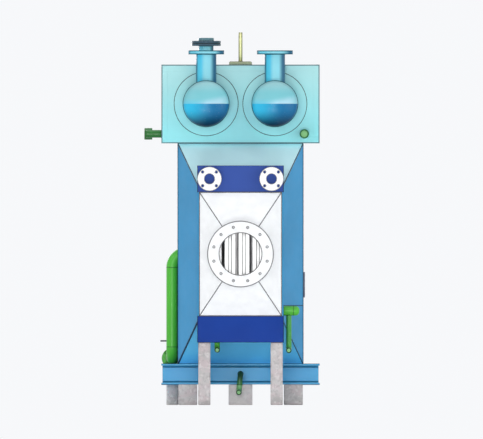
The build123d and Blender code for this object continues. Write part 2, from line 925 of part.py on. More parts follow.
with BuildPart() as vent_cover:
    with BuildSketch(Plane.XY.offset(vent_face_z + vent_gasket_thickness)):
        with Locations(*vent_places):
            Circle(vent_flange_diameter / 2)
    extrude(amount=vent_flange_thickness)
    with BuildSketch(Plane.XY.offset(vent_face_z + vent_gasket_thickness + vent_flange_thickness)):
        with Locations(*vent_places):
            Circle(vent_cap_diameter / 2)
    extrude(amount=vent_cap_height)
    vent_cap_rim = vent_cover.faces().sort_by(Axis.Z)[-1].edges()
    chamfer(vent_cap_rim, length=vent_cap_chamfer)
vent_cover.part.label = "vent_cover"
export_step(vent_cover.part, "parts/vent_cover.step")

# Lifting lugs on the centre line, each on a base plate
with BuildPart() as lug_bases:
    for end in (-1, 1):
        with Locations((0, end * lug_y, enclosure_top)):
            Box(
                lug_base_width,
                lug_base_length,
                lug_base_thickness,
                align=(Align.CENTER, Align.CENTER, Align.MIN),
            )
    lug_base_ends = lug_bases.faces().filter_by(Axis.Z).group_by(Axis.Z)[-1].edges().filter_by(Axis.Y)
    chamfer(lug_base_ends, length=lug_base_chamfer)
lug_bases.part.label = "lug_bases"
export_step(lug_bases.part, "parts/lug_bases.step")

lug_eye_z = lug_top - lug_width / 2
with BuildPart() as lug_plates:
    for end in (-1, 1):
        lug_plane = Plane(origin=(-lug_thickness / 2, end * lug_y, 0), x_dir=(0, 1, 0), z_dir=(1, 0, 0))
        with BuildSketch(lug_plane):
            with Locations((0, (lug_base_top + lug_eye_z) / 2)):
                Rectangle(lug_width, lug_eye_z - lug_base_top)
            with Locations((0, lug_eye_z)):
                Circle(lug_width / 2)
                Circle(lug_eye / 2, mode=Mode.SUBTRACT)
        extrude(amount=lug_thickness)
lug_plates.part.label = "lug_plates"
export_step(lug_plates.part, "parts/lug_plates.step")

# Stubs on the left side of the enclosure: a plain one and one with a socket
with BuildPart() as side_stubs:
    for stub_y in (front_side_stub_y, rear_side_stub_y):
        stub_plane = Plane(origin=(-enclosure_half, stub_y, stub_z), x_dir=(0, 1, 0), z_dir=(-1, 0, 0))
        extrude(ring_section(stub_plane, [(0, 0)], stub_diameter, stub_bore), amount=side_stub_reach)
    socket_plane = Plane(
        origin=(-enclosure_half - side_stub_reach - stub_socket_overhang, rear_side_stub_y, stub_z),
        x_dir=(0, 1, 0),
        z_dir=(1, 0, 0),
    )
    extrude(
        ring_section(socket_plane, [(0, 0)], stub_socket_diameter, stub_bore),
        amount=stub_socket_length,
    )
side_stubs.part.label = "side_stubs"
export_step(side_stubs.part, "parts/side_stubs.step")

# Plugged stub on the enclosure's front
with BuildPart() as front_stub:
    with BuildSketch(upright(enclosure_front_y)):
        with Locations((front_stub_x, stub_z)):
            Circle(front_stub_diameter / 2)
    extrude(amount=front_stub_reach)
    with BuildSketch(upright(enclosure_front_y - front_stub_reach)):
        with Locations((front_stub_x, stub_z)):
            Circle(front_stub_face / 2)
    extrude(amount=-front_stub_recess, mode=Mode.SUBTRACT)
front_stub.part.label = "front_stub"
export_step(front_stub.part, "parts/front_stub.step")

# Elbows of the green pipe: out of the casing wall, and back along the skid
riser_top = riser_top_leg_z - elbow_radius
riser_bottom = return_z + foot_elbow_radius
with BuildPart() as riser_elbows:
    revolve(
        ring_section(Plane.XY.offset(riser_top), [(riser_x, riser_y)], riser_diameter, riser_bore),
        axis=Axis((riser_x + elbow_radius, riser_y, riser_top), (0, 1, 0)),
        revolution_arc=90,
    )
    split(bisect_by=Plane(origin=(-casing_half, 0, 0), z_dir=(-1, 0, 0)), keep=Keep.TOP)
    revolve(
        ring_section(Plane.XY.offset(riser_bottom), [(riser_x, riser_y)], riser_diameter, riser_bore),
        axis=Axis((riser_x, riser_y + foot_elbow_radius, riser_bottom), (1, 0, 0)),
        revolution_arc=90,
    )
riser_elbows.part.label = "riser_elbows"
export_step(riser_elbows.part, "parts/riser_elbows.step")

# Upright run of the green pipe
with BuildPart() as riser_pipe:
    extrude(
        ring_section(Plane.XY.offset(riser_bottom), [(riser_x, riser_y)], riser_diameter, riser_bore),
        amount=riser_top - riser_bottom,
    )
riser_pipe.part.label = "riser_pipe"
export_step(riser_pipe.part, "parts/riser_pipe.step")

# Run along the skid, which lies on its side beam, and the flange at its end
return_start = riser_y + foot_elbow_radius
with BuildPart() as return_pipe:
    extrude(
        ring_section(upright(return_start), [(riser_x, return_z)], riser_diameter, riser_bore),
        amount=return_start - return_end,
    )
return_pipe.part.label = "return_pipe"
export_step(return_pipe.part, "parts/return_pipe.step")

with BuildPart() as return_flange:
    extrude(
        flange_section(
            upright(return_end - return_flange_thickness),
            [(riser_x, return_z)],
            return_flange_diameter,
            riser_diameter,
            return_bolt_circle,
            return_bolt_hole,
            return_bolt_count,
        ),
        amount=-return_flange_thickness,
    )
return_flange.part.label = "return_flange"
export_step(return_flange.part, "parts/return_flange.step")

# Flat bar from the casing wall, behind the upright run
with BuildPart() as pipe_bracket:
    with Locations((-casing_half, riser_y + riser_radius, bracket_z)):
        Box(
            bracket_reach,
            bracket_depth,
            bracket_thickness,
            align=(Align.MAX, Align.MIN, Align.CENTER),
        )
pipe_bracket.part.label = "pipe_bracket"
export_step(pipe_bracket.part, "parts/pipe_bracket.step")

# Side header of the economiser
header_plane = Plane(origin=(economiser_half, header_y, header_z), x_dir=(0, 1, 0), z_dir=(1, 0, 0))
with BuildPart() as side_header:
    extrude(ring_section(header_plane, [(0, 0)], header_diameter, header_bore), amount=header_length)
side_header.part.label = "side_header"
export_step(side_header.part, "parts/side_header.step")

# Dished cap on the end of the header
with BuildPart() as header_cap:
    with BuildSketch(header_plane.offset(header_length)):
        Circle(header_diameter / 2)
    extrude(amount=header_cap_length)
    cap_rim = header_cap.faces().sort_by(Axis.X)[-1].edges()
    fillet(cap_rim, radius=header_cap_radius)
header_cap.part.label = "header_cap"
export_step(header_cap.part, "parts/header_cap.step")


def bent_pipe(points, bend_radius, outer, bore):
    """A pipe along straight runs, bent to one radius at each corner."""
    with BuildPart() as pipe:
        with BuildLine() as route:
            FilletPolyline(*points, radius=bend_radius)
        with BuildSketch(Plane(origin=route.line @ 0, z_dir=route.line % 0)):
            Circle(outer / 2)
            Circle(bore / 2, mode=Mode.SUBTRACT)
        sweep(path=route.line)
    return pipe.part


# Drop pipe, saddled under the header and bent to the front at its foot
drop_route = [
    (drop_x, header_y, header_z),
    (drop_x, header_y, drop_bottom_z),
    (drop_x, header_y - drop_elbow_radius - drop_end_reach, drop_bottom_z),
]
drop_tube = bent_pipe(drop_route, drop_elbow_radius, drop_diameter, drop_bore)
with BuildPart() as drop_pipe:
    add(drop_tube)
    with BuildSketch(header_plane):
        Circle(header_diameter / 2)
    extrude(amount=header_length, mode=Mode.SUBTRACT)
drop_pipe.part.label = "drop_pipe"
export_step(drop_pipe.part, "parts/drop_pipe.step")

# Drain under the lower box, bent to the front at its foot
drain_route = [
    (drain_x, header_y, economiser_bottom),
    (drain_x, header_y, drain_z),
    (drain_x, header_y - drain_elbow_radius - drain_end_reach, drain_z),
]
economiser_drain = bent_pipe(drain_route, drain_elbow_radius, drain_diameter, drain_bore)
economiser_drain.label = "economiser_drain"
export_step(economiser_drain, "parts/economiser_drain.step")

# Blow-down pipe: out through the web of the front beam, down, and to the front
blowdown_y = skid_front - blowdown_setout
blowdown_route = [
    (0, -beam_y + beam_web / 2, blowdown_z),
    (0, blowdown_y, blowdown_z),
    (blowdown_end_x, blowdown_y, blowdown_end_z),
    (blowdown_end_x, blowdown_y - blowdown_elbow_radius - blowdown_end_reach, blowdown_end_z),
]
blowdown_pipe = bent_pipe(blowdown_route, blowdown_elbow_radius, blowdown_diameter, blowdown_bore)
blowdown_pipe.label = "blowdown_pipe"
export_step(blowdown_pipe, "parts/blowdown_pipe.step")

# Plugs, set a little way into the ends of the drop pipe, the drain and the blow-down pipe
plug_seats = [
    ((drop_x, drop_bottom_z), drop_route[-1][1], drop_bore),
    ((drain_x, drain_z), drain_route[-1][1], drain_bore),
    ((blowdown_end_x, blowdown_end_z), blowdown_route[-1][1], blowdown_bore),
]
with BuildPart() as pipe_plugs:
    for place, end_y, bore in plug_seats:
        with BuildSketch(upright(end_y + plug_recess + plug_length)):
            with Locations(place):
                Circle(bore / 2)
        extrude(amount=plug_length)
pipe_plugs.part.label = "pipe_plugs"
export_step(pipe_plugs.part, "parts/pipe_plugs.step")
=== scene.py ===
from math import acos, copysign, cos, hypot, pi, radians, sin, sqrt, tan
import bmesh
import bpy
from mathutils import Matrix, Vector, noise


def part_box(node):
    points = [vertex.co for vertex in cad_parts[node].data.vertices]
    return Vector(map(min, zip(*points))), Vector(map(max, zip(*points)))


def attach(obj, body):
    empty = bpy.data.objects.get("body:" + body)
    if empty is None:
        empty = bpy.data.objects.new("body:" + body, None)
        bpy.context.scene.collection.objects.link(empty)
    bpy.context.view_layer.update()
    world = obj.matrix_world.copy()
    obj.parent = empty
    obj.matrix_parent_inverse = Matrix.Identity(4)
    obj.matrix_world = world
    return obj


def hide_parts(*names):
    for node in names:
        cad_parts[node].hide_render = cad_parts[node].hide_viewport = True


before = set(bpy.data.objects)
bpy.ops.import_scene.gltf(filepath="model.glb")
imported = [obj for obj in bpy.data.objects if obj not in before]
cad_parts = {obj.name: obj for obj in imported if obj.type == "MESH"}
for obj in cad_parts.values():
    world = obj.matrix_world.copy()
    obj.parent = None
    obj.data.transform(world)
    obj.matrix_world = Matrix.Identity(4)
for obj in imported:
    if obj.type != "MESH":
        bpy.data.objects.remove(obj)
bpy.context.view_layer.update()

# Concrete plinths and columns. The real ones are cast in plywood forms, struck
# with small chamfers, and left bare: pale cement with dark and light stones,
# small air holes, and arrises that have chipped a little.


class Wire:
    """One value among nodes. Arithmetic on it adds Math nodes."""

    def __init__(self, nodes, socket):
        self.nodes = nodes
        self.socket = socket

    def __add__(self, other):
        return self.nodes.maths("ADD", self, other)

    def __sub__(self, other):
        return self.nodes.maths("SUBTRACT", self, other)

    def __rsub__(self, other):
        return self.nodes.maths("SUBTRACT", other, self)

    def __mul__(self, other):
        return self.nodes.maths("MULTIPLY", self, other)

    def __abs__(self):
        return self.nodes.maths("ABSOLUTE", self)

    __radd__ = __add__
    __rmul__ = __mul__

    def band(self, start, end):
        """Rises softly from 0 to 1 while the value goes from start to end."""
        values = {"Value": self, "From Min": start, "From Max": end}
        return self.nodes.node("MapRange", {"interpolation_type": "SMOOTHSTEP"}, values)


class Nodes:
    """The nodes of a material, or of the world."""

    def __init__(self, tree):
        self.tree = tree

    def node(self, kind, settings, values, output=0):
        made = self.tree.nodes.new("ShaderNode" + kind)
        for setting, value in settings.items():
            setattr(made, setting, value)
        for key, value in values.items():
            self.plug(made.inputs[key], value)
        return Wire(self, made.outputs[output])

    def plug(self, socket, value):
        if isinstance(value, Wire):
            self.tree.links.new(value.socket, socket)
        else:
            socket.default_value = value

    def maths(self, operation, *values):
        return self.node("Math", {"operation": operation}, dict(enumerate(values)))

    def vectors(self, operation, *values):
        output = "Value" if operation in ("DOT_PRODUCT", "LENGTH") else "Vector"
        return self.node("VectorMath", {"operation": operation}, dict(enumerate(values)), output)

    def parts(self, vector):
        """The X, Y and Z of a vector."""
        split = self.node("SeparateXYZ", {}, {0: vector}).socket.node
        return [Wire(self, output) for output in split.outputs]


class Finish(Nodes):
    """A procedural material: a first tone, with coats laid over it."""

    def __init__(self, name, tone):
        self.material = bpy.data.materials.new(name)
        self.material.use_nodes = True
        super().__init__(self.material.node_tree)
        self.shader = self.tree.nodes["Principled BSDF"]
        self.tone = tone
        self.place = self.node("TexCoord", {}, {}, "Object")
        self.normal = self.node("NewGeometry", {}, {}, "Normal")
        self.across, self.depth, self.height = self.parts(self.place)
        self.aside, self.ahead, self.upward = self.parts(self.normal)

    def feed(self, socket, value):
        self.plug(self.shader.inputs[socket], value)

    def noise(self, scale, detail, stretch=(1, 1, 1)):
        place = self.node("Mapping", {}, {"Vector": self.place, "Scale": stretch})
        return self.node("TexNoise", {}, {"Vector": place, "Scale": scale, "Detail": detail})

    def blend(self, share, first, second):
        first, second = [colour if isinstance(colour, Wire) else (*colour, 1) for colour in (first, second)]
        return self.node("Mix", {"data_type": "RGBA"}, {0: share, 6: first, 7: second}, 2)

    def coat(self, share, colour):
        """Lays a colour over the tone, as thick as its share."""
        self.tone = self.blend(share, self.tone, colour)
        self.feed("Base Color", self.tone)

    def rim(self, radius):
        """The normal as if edges were rounded, and a mask that is 1 along the edges."""
        rounded = self.node("Bevel", {"samples": 8}, {"Radius": radius})
        facing = self.vectors("DOT_PRODUCT", rounded, self.normal)
        return rounded, (1 - facing).band(0.004, 0.05)

    def gloss(self, level, coat, coat_roughness):
        self.feed("Specular IOR Level", level)
        self.feed("Coat Weight", coat)
        self.feed("Coat Roughness", coat_roughness)

    def grain(self, roughness, height, distance, normal=None):
        """Roughness and relief."""
        self.feed("Roughness", roughness)
        values = {"Height": height, "Distance": distance}
        if normal:
            values["Normal"] = normal
        self.feed("Normal", self.node("Bump", {}, values))


def tint(colour, factor):
    """A linear colour, made lighter or darker."""
    return tuple(channel * factor for channel in colour)


def cast_concrete(name, cement):
    finish = Finish(name, tint(cement, 0.8))
    finish.coat(finish.noise(5, 4).band(0.3, 0.7), tint(cement, 1.12))
    warm = (cement[0] * 1.12, cement[1] * 0.96, cement[2])
    finish.coat(finish.noise(9, 3, (1, 1, 2.5)).band(0.42, 0.62) * 0.5, warm)
    dark_stone = finish.noise(44, 2).band(0.54, 0.63)
    finish.coat(dark_stone * 0.35, tint(cement, 0.6))
    pale_stone = finish.noise(35, 2).band(0.56, 0.64)
    finish.coat(pale_stone * 0.5, tint(cement, 1.3))
    cells = finish.node("TexVoronoi", {}, {"Vector": finish.place, "Scale": 95})
    pores = cells.band(0.2, 0.1) * finish.noise(23, 1).band(0.55, 0.62)
    finish.coat(pores * 0.5, tint(cement, 0.35))
    foot = finish.height.band(0.07, 0.0) * finish.noise(14, 4).band(0.35, 0.65)
    finish.coat(foot * 0.35, tint(cement, 0.42))
    grime = finish.rim(0.008)[1]
    finish.coat(grime * 0.6, tint(cement, 0.22))
    finish.grain(finish.noise(60, 3) * 0.2 + 0.75, finish.noise(210, 3) * 0.4 - pores, 0.0012)
    return finish


def span(node):
    """The lowest corner, the highest corner and the middle of a CAD node."""
    low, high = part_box(node)
    return low, high, (low + high) / 2


def solids(node):
    """The lowest corner, the highest corner and the middle of each solid of a CAD node."""
    shape = bmesh.new()
    shape.from_mesh(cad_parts[node].data)
    bmesh.ops.remove_doubles(shape, verts=shape.verts, dist=0.00002)
    left = dict.fromkeys(shape.verts)
    boxes = []
    while left:
        group = [left.popitem()[0]]
        for corner in group:
            for edge in corner.link_edges:
                other = edge.other_vert(corner)
                if other in left:
                    del left[other]
                    group.append(other)
        low, high = [Vector([pick(c.co[i] for c in group) for i in range(3)]) for pick in (min, max)]
        boxes.append((low, high, (low + high) / 2))
    shape.free()
    return sorted(boxes, key=lambda box: tuple(box[0]))


def skin(shape, rows, around=True):
    """Faces between each row of corners and the next, open or closed around."""
    for first, second in zip(rows, rows[1:]):
        for i in range(len(first) if around else len(first) - 1):
            after = (i + 1) % len(first)
            face = dict.fromkeys((first[i], first[after], second[after], second[i]))
            if len(face) > 2:
                shape.faces.new(list(face))


def put(name, data, place=(0, 0, 0), turn=(0, 0, 0)):
    """An object of the scene, from its data."""
    thing = bpy.data.objects.new(name, data)
    thing.location = place
    thing.rotation_euler = turn
    bpy.context.scene.collection.objects.link(thing)
    return thing


def finished(name, shape, finish):
    """An object with one finish, from a worked shape."""
    mesh = bpy.data.meshes.new(name)
    shape.to_mesh(mesh)
    shape.free()
    mesh.materials.append(finish.material)
    return put(name, mesh)


def fit(name, shape, finish, slot, *replaced):
    """Makes a worked shape a piece of the boiler."""
    bmesh.ops.recalc_face_normals(shape, faces=shape.faces)
    piece = finished(name, shape, finish)
    piece.data.shade_smooth()
    piece.data.set_sharp_from_angle(angle=radians(35))
    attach(piece, "root")
    if replaced:
        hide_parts(*replaced)


arris = 0.006
form_cell = 0.022
wear = 0.0012


def grid_lines(low, high):
    """Places of the mesh lines along one edge of a block, closer near its ends."""
    inner = high - low - 2 * arris
    count = max(1, round(inner / form_cell))
    steps = [low + arris + inner * step / count for step in range(count + 1)]
    return [low, low + arris * 0.4] + steps + [high - arris * 0.4, high]


def cast_block(shape, low, high):
    """A block with rounded, chipped arrises, never outside its corners."""
    lines = [grid_lines(low[i], high[i]) for i in range(3)]
    corners = []
    for axis in range(3):
        for level in (0, -1):
            sheet = []
            for u in lines[axis - 2]:
                places = [(lines[axis][level], u, v) for v in lines[axis - 1]]
                sheet.append([shape.verts.new([place[i - axis] for i in range(3)]) for place in places])
                corners += sheet[-1]
            skin(shape, sheet, around=False)
    bmesh.ops.remove_doubles(shape, verts=corners, dist=0.00001)
    for corner in [c for c in corners if c.is_valid]:
        core = Vector([min(max(corner.co[i], low[i] + arris), high[i] - arris) for i in range(3)])
        away = corner.co - core
        sides = sum(1 for i in range(3) if abs(away[i]) > 0.00001)
        chip = max(0.0, noise.noise(corner.co * 38) - 0.12) * arris * 1.6 if sides > 1 else 0.0
        dent = abs(noise.noise(corner.co * 24)) * wear
        if away.length > 0:
            corner.co = core + away.normalized() * (arris - dent - chip)


concrete = cast_concrete("cast concrete", (0.54, 0.515, 0.505))
# Painted light: the concrete is lightened near the middle, where X is near 0, to offset the shade on the centre
# plinth.
centre_lit_mask = abs(concrete.across).band(0.3, 0.1)
concrete.coat(centre_lit_mask * 0.4, (0.93, 0.87, 0.85))
pale_concrete = cast_concrete("pale cast concrete", (0.5, 0.475, 0.47))
# Painted light: the pipe plinth's concrete is made near white, to offset the shade under the side beam that it
# stands in.
concrete_lit_copy = cast_concrete("lightened cast concrete", (0.97, 0.92, 0.88))
for node, finish in (("plinths", concrete), ("pipe_plinth", concrete_lit_copy), ("columns", pale_concrete)):
    blocks = bmesh.new()
    for low, high, _ in solids(node):
        cast_block(blocks, low, high)
    fit(f"cast_{node}", blocks, finish, "concrete", node)

# Skid frame. Rolled wide-flange beams, butted, welded round and painted blue
# with the casing. The rolled root radius runs along both sides of each web,
# and anchor studs with nuts hold the lower flanges down on the plinths.
UP = Vector((0, 0, 1))
FRONT = (0, -1, 0)
REAR = (0, 1, 0)
LEFT = (-1, 0, 0)
RIGHT = (1, 0, 0)


def paint(
    name, colour, roughness=0.4, dust_and_top_light=(0.5, 0.5, 0.48), dust_and_top_light_share=0.3,
    wear=0.5, shine=0.25, dark_edge=0.7, reach=0.007,
):
    """Sprayed machine paint: orange peel, faint rain marks, dark, worn edges, and on top a coat that is dust,
    and painted light where it is a lighter tint of the paint.
    """
    finish = Finish(name, tint(colour, 0.94))
    finish.coat(finish.noise(2.7, 3).band(0.3, 0.7), tint(colour, 1.06))
    patch = finish.noise(19, 4)
    runs = finish.noise(46, 3, (1, 1, 0.05)).band(0.52, 0.75) * patch.band(0.35, 0.7)
    upright = finish.upward.band(0.5, -0.5)
    finish.coat(runs * upright * 0.2, tint(colour, 0.74))
    # The coat on faces that look up is dust, and where its colour is a lighter tint of the paint, painted light
    # that makes the tops lighter.
    settled_dust_and_top_light = finish.upward.band(0.35, 0.95) * (patch.band(0.25, 0.75) * 0.5 + 0.5)
    finish.coat(settled_dust_and_top_light * dust_and_top_light_share, dust_and_top_light)
    rounded, edge = finish.rim(reach)
    chipped = edge * finish.noise(75, 4).band(0.6, 0.68) * wear
    finish.coat(edge * dark_edge, tint(colour, 0.16))
    finish.coat(chipped, (0.17, 0.15, 0.14))
    finish.gloss(shine, shine * 0.3, 0.15)
    rough = patch.band(0.2, 0.8) * 0.12 + settled_dust_and_top_light * 0.25 + (roughness - 0.05)
    peel = finish.noise(240, 2) + finish.noise(33, 2) * 0.6
    finish.grain(rough, peel - chipped * 2, 0.00035, rounded)
    return finish


def dress(finish, *nodes):
    """Gives a finish to CAD nodes whose own shape stays."""
    for node in nodes:
        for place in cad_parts[node].material_slots:
            place.material = finish.material


def spokes(count, shift=0.0):
    """The cosine and sine of even turns round a circle, shifted by a part of one."""
    turns = [2 * pi * (step + shift) / count for step in range(count)]
    return [(cos(turn), sin(turn)) for turn in turns]


def sweep(shape, points, radii, sides, closed=False, capped=True):
    """A round skin along points, with its own radius at each one."""
    count = len(points)
    heading = [(points[(i + 1) % count] - points[i - 1]).normalized() for i in range(count)]
    if not closed:
        heading[0] = (points[1] - points[0]).normalized()
        heading[-1] = (points[-1] - points[-2]).normalized()
    across = heading[0].orthogonal().normalized()
    rings = []
    for place, ahead, radius in zip(points, heading, radii):
        across = (across - ahead * across.dot(ahead)).normalized()
        up = ahead.cross(across)
        rings.append([shape.verts.new(place + (across * x + up * y) * radius) for x, y in spokes(sides)])
    skin(shape, rings)
    if closed:
        last, first = rings[-1], rings[0]
        shift = min(range(sides), key=lambda step: (first[step].co - last[0].co).length)
        skin(shape, [last, first[shift:] + first[:shift]])
    elif capped:
        shape.faces.new(list(reversed(rings[0])))
        shape.faces.new(rings[-1])
    return rings


def bead(shape, route, size, closed=False):
    """A weld bead along straight runs between points, with the ripple of the arc."""
    route = [Vector(place) for place in route]
    points = []
    for start, end in zip(route, route[1:] + route[:1] if closed else route[1:]):
        steps = max(1, round((end - start).length / (size * 1.1)))
        points += [start.lerp(end, step / steps) for step in range(steps)]
    if not closed:
        points.append(route[-1])
    radii = []
    for step, place in enumerate(points):
        ripple = 0.1 if step % 2 else -0.04
        radii.append(size * (0.9 + ripple + 0.12 * noise.noise(place * 60)))
    sweep(shape, points, radii, 6, closed)


def ring(shape, place, axis, radius, size, count=72):
    """A weld bead round a circle about an axis."""
    turn_to = UP.rotation_difference(Vector(axis))
    route = [Vector(place) + turn_to @ Vector((radius * x, radius * y, 0)) for x, y in spokes(count)]
    bead(shape, route, size, closed=True)


def turned(shape, place, axis, profile, sides=48, closed=False):
    """A turned shape from pairs of radius and distance along its axis."""
    turn_to = UP.rotation_difference(Vector(axis)).to_matrix().to_4x4()
    stand = Matrix.Translation(Vector(place)) @ turn_to
    rings = []
    for radius, along in profile:
        spots = [(radius * x, radius * y, along) for x, y in spokes(sides if radius else 1, 0.5)]
        row = [shape.verts.new(stand @ Vector(spot)) for spot in spots]
        rings.append(row if radius else row * sides)
    skin(shape, rings + rings[:1] if closed else rings)
    return shape


def nut(shape, place, axis, across, height, stud):
    """A hexagon nut on a washer, with the end of its stud."""
    corner = across / sqrt(3)
    washer = height * 0.18
    turned(shape, place, axis, [(0, 0), (corner * 1.12, 0), (corner * 1.12, washer), (0, washer)], 24)
    rim = height * 0.12
    top = washer + height
    hexagon = [(0, washer), (corner * 0.93, washer), (corner, washer + rim)]
    hexagon += [(corner, top - rim), (corner * 0.9, top), (0, top)]
    turned(shape, place, axis, hexagon, 6)
    thread = across * 0.3
    tip = top + stud
    turned(shape, place, axis, [(thread, top), (thread, tip - thread * 0.3), (thread * 0.7, tip), (0, tip)], 16)


beam_flange = 0.013
beam_web = 0.008
root_radius = 0.015
web_end_setback = 0.009


def beam_roots(shape, low, high, along, setback):
    """The four rolled radii between web and flanges, on a beam along X, 0, or Y, 1."""
    curve = [(1 - sin(pi / 8 * step), 1 - cos(pi / 8 * step)) for step in range(5)]
    for side in (-1, 1):
        for level, inward in ((low.z + beam_flange, 1), (high.z - beam_flange, -1)):
            rows = []
            for out, up in curve + [(0, 0)]:
                place = Vector((0, 0, level + inward * root_radius * up))
                middle = (low[1 - along] + high[1 - along]) / 2
                place[1 - along] = middle + side * (beam_web / 2 + root_radius * out)
                row = []
                for end in (low[along] + setback, high[along] - setback):
                    place[along] = end
                    row.append(shape.verts.new(place))
                rows.append(row)
            skin(shape, rows + rows[:1], around=False)
            shape.faces.new([row[0] for row in rows])
            shape.faces.new([row[1] for row in reversed(rows)])


# Painted light: the skid's blue is lighter than the casing's, to offset the shade on the webs under the beam
# flanges.
skid_blue_lit_copy = paint("skid blue paint", (0.055, 0.38, 0.67), dust_and_top_light=(0.3, 0.55, 0.7), dark_edge=0.45)
bolt_steel = Finish("zinc plated steel", (0.42, 0.43, 0.44))
bolt_steel.coat(bolt_steel.noise(90, 3), (0.6, 0.6, 0.58))
bolt_steel.feed("Roughness", bolt_steel.noise(150, 2) * 0.3 + 0.25)
bolt_steel.feed("Metallic", 0.9)
seam_blue = paint("dark blue over welds", (0.012, 0.06, 0.13), dust_and_top_light_share=0.1, wear=0.2)
dress(skid_blue_lit_copy, "skid_front_beam", "skid_rear_beam", "skid_side_beams", "skid_cross_beam")

front_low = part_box("skid_front_beam")[0]
cross_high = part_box("skid_cross_beam")[1]
side_beams = solids("skid_side_beams")
fillets = bmesh.new()
for beam, setback in (("front", web_end_setback), ("rear", web_end_setback), ("cross", 0.0)):
    beam_roots(fillets, *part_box(f"skid_{beam}_beam"), 0, setback)
for low, high, _ in side_beams:
    beam_roots(fillets, low, high, 1, 0.0)
fit("beam_root_radii", fillets, skid_blue_lit_copy, "boiler_blue")

welds = bmesh.new()
for low, high, middle in side_beams:
    for y in (low.y, high.y):
        for z in (low.z, high.z):
            bead(welds, [(low.x, y, z), (high.x, y, z)], 0.0035)
        bead(welds, [(middle.x, y, low.z), (middle.x, y, high.z)], 0.004)
fit("skid_welds", welds, seam_blue, "boiler_blue")

anchor_offset = 0.045
nuts = bmesh.new()
for _, _, middle in solids("plinths"):
    centred = abs(middle.y) < 0.1
    for row in (-1, 1) if centred else (-copysign(1, middle.y),):
        for x in (middle.x - anchor_offset, middle.x + anchor_offset):
            if centred and abs(x) > cross_high.x - 0.02:
                continue
            place = (x, middle.y + row * anchor_offset, front_low.z + beam_flange)
            nut(nuts, place, UP, 0.024, 0.013, 0.012)
fit("anchor_nuts", nuts, bolt_steel, "bracket_dark")

# Casing. Flat steel plates over insulation, seam welded along every joint, in
# the blue of the skid outside, and lined with pale board inside. A round cover
# is screwed over the inspection hole on the right, on a thin graphite seal.
casing_middle = (0, 0, 1.18)


def line_inside(finish):
    """Pale board, greyed by soot, on the faces that look in towards the casing's middle."""
    apart = finish.vectors("SUBTRACT", finish.place, casing_middle)
    outward = finish.vectors("DOT_PRODUCT", apart, finish.normal)
    soot = finish.noise(3, 4).band(0.35, 0.75) * 0.5
    board = finish.blend(soot, (0.78, 0.77, 0.75), (0.5, 0.49, 0.48))
    finish.coat(outward.band(0.02, -0.02), board)


boiler_blue = paint("boiler blue paint", (0.046, 0.32, 0.6), dust_and_top_light=(0.3, 0.55, 0.7), dust_and_top_light_share=0.4)
line_inside(boiler_blue)
dress(boiler_blue, "casing_left_wall", "casing_right_wall", "casing_floor", "casing_roof")
casing_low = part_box("casing_floor")[0]
casing_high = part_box("casing_roof")[1]
plate_weld = 0.0035


def frame_bead(shape, low, high, size):
    """A bead round the flat rectangle between two corners."""
    bead(shape, [low, (high[0], *low[1:]), high, (low[0], *high[1:])], size, closed=True)


welds = bmesh.new()
for y in (casing_low.y, casing_high.y):
    frame_bead(welds, (-casing_high.x, y, casing_low.z), (casing_high.x, y, casing_high.z), plate_weld)
for x in (casing_low.x, casing_high.x):
    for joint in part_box("casing_left_wall"):
        bead(welds, [(x, casing_low.y, joint.z), (x, casing_high.y, joint.z)], 0.0028)
fit("casing_welds", welds, seam_blue, "boiler_blue")

hatch_paint = paint("grey hatch paint", (0.17, 0.18, 0.23), dust_and_top_light=(0.25, 0.25, 0.28), wear=0.6)
seal_black = Finish("graphite seal", (0.012, 0.012, 0.013))
seal_black.coat(seal_black.noise(120, 3), (0.03, 0.03, 0.032))
seal_black.grain(0.7, seal_black.noise(300, 2), 0.0003)
low, high, middle = span("hatch_cover")
radius = (high.z - low.z) / 2
thick = high.x - low.x
rim = 0.003
cover = [(0, 0), (radius, 0), (radius, thick - rim), (radius - rim * 0.4, thick - rim * 0.4)]
cover += [(radius - rim, thick), (radius * 0.62, thick), (radius * 0.6, thick - 0.002), (0, thick - 0.002)]
root = Vector((low.x, middle.y, middle.z))
fit("hatch_plate", turned(bmesh.new(), root, RIGHT, cover, 96), hatch_paint, "hatch_grey", "hatch_cover")

screw = [(0, 0), (0.0115, 0), (0.0115, 0.0012), (0.0105, 0.0022), (0.006, 0.0022), (0.006, 0.0002), (0, 0.0002)]
screws = bmesh.new()
for y, z in spokes(8, 0.5):
    reach = radius * 0.82
    spot = (high.x - 0.0012, middle.y + reach * y, middle.z + reach * z)
    turned(screws, spot, RIGHT, screw, 24)
fit("hatch_screws", screws, bolt_steel, "hatch_grey")
seal_inner, seal_outer, seal_thick = radius - 0.004, radius + 0.0015, 0.0025
seal = [(seal_inner, 0), (seal_outer, 0), (seal_outer, seal_thick), (seal_inner, seal_thick)]
root.x -= 0.001
fit("hatch_seal", turned(bmesh.new(), root, RIGHT, seal, 96, closed=True), seal_black, "gasket_black")

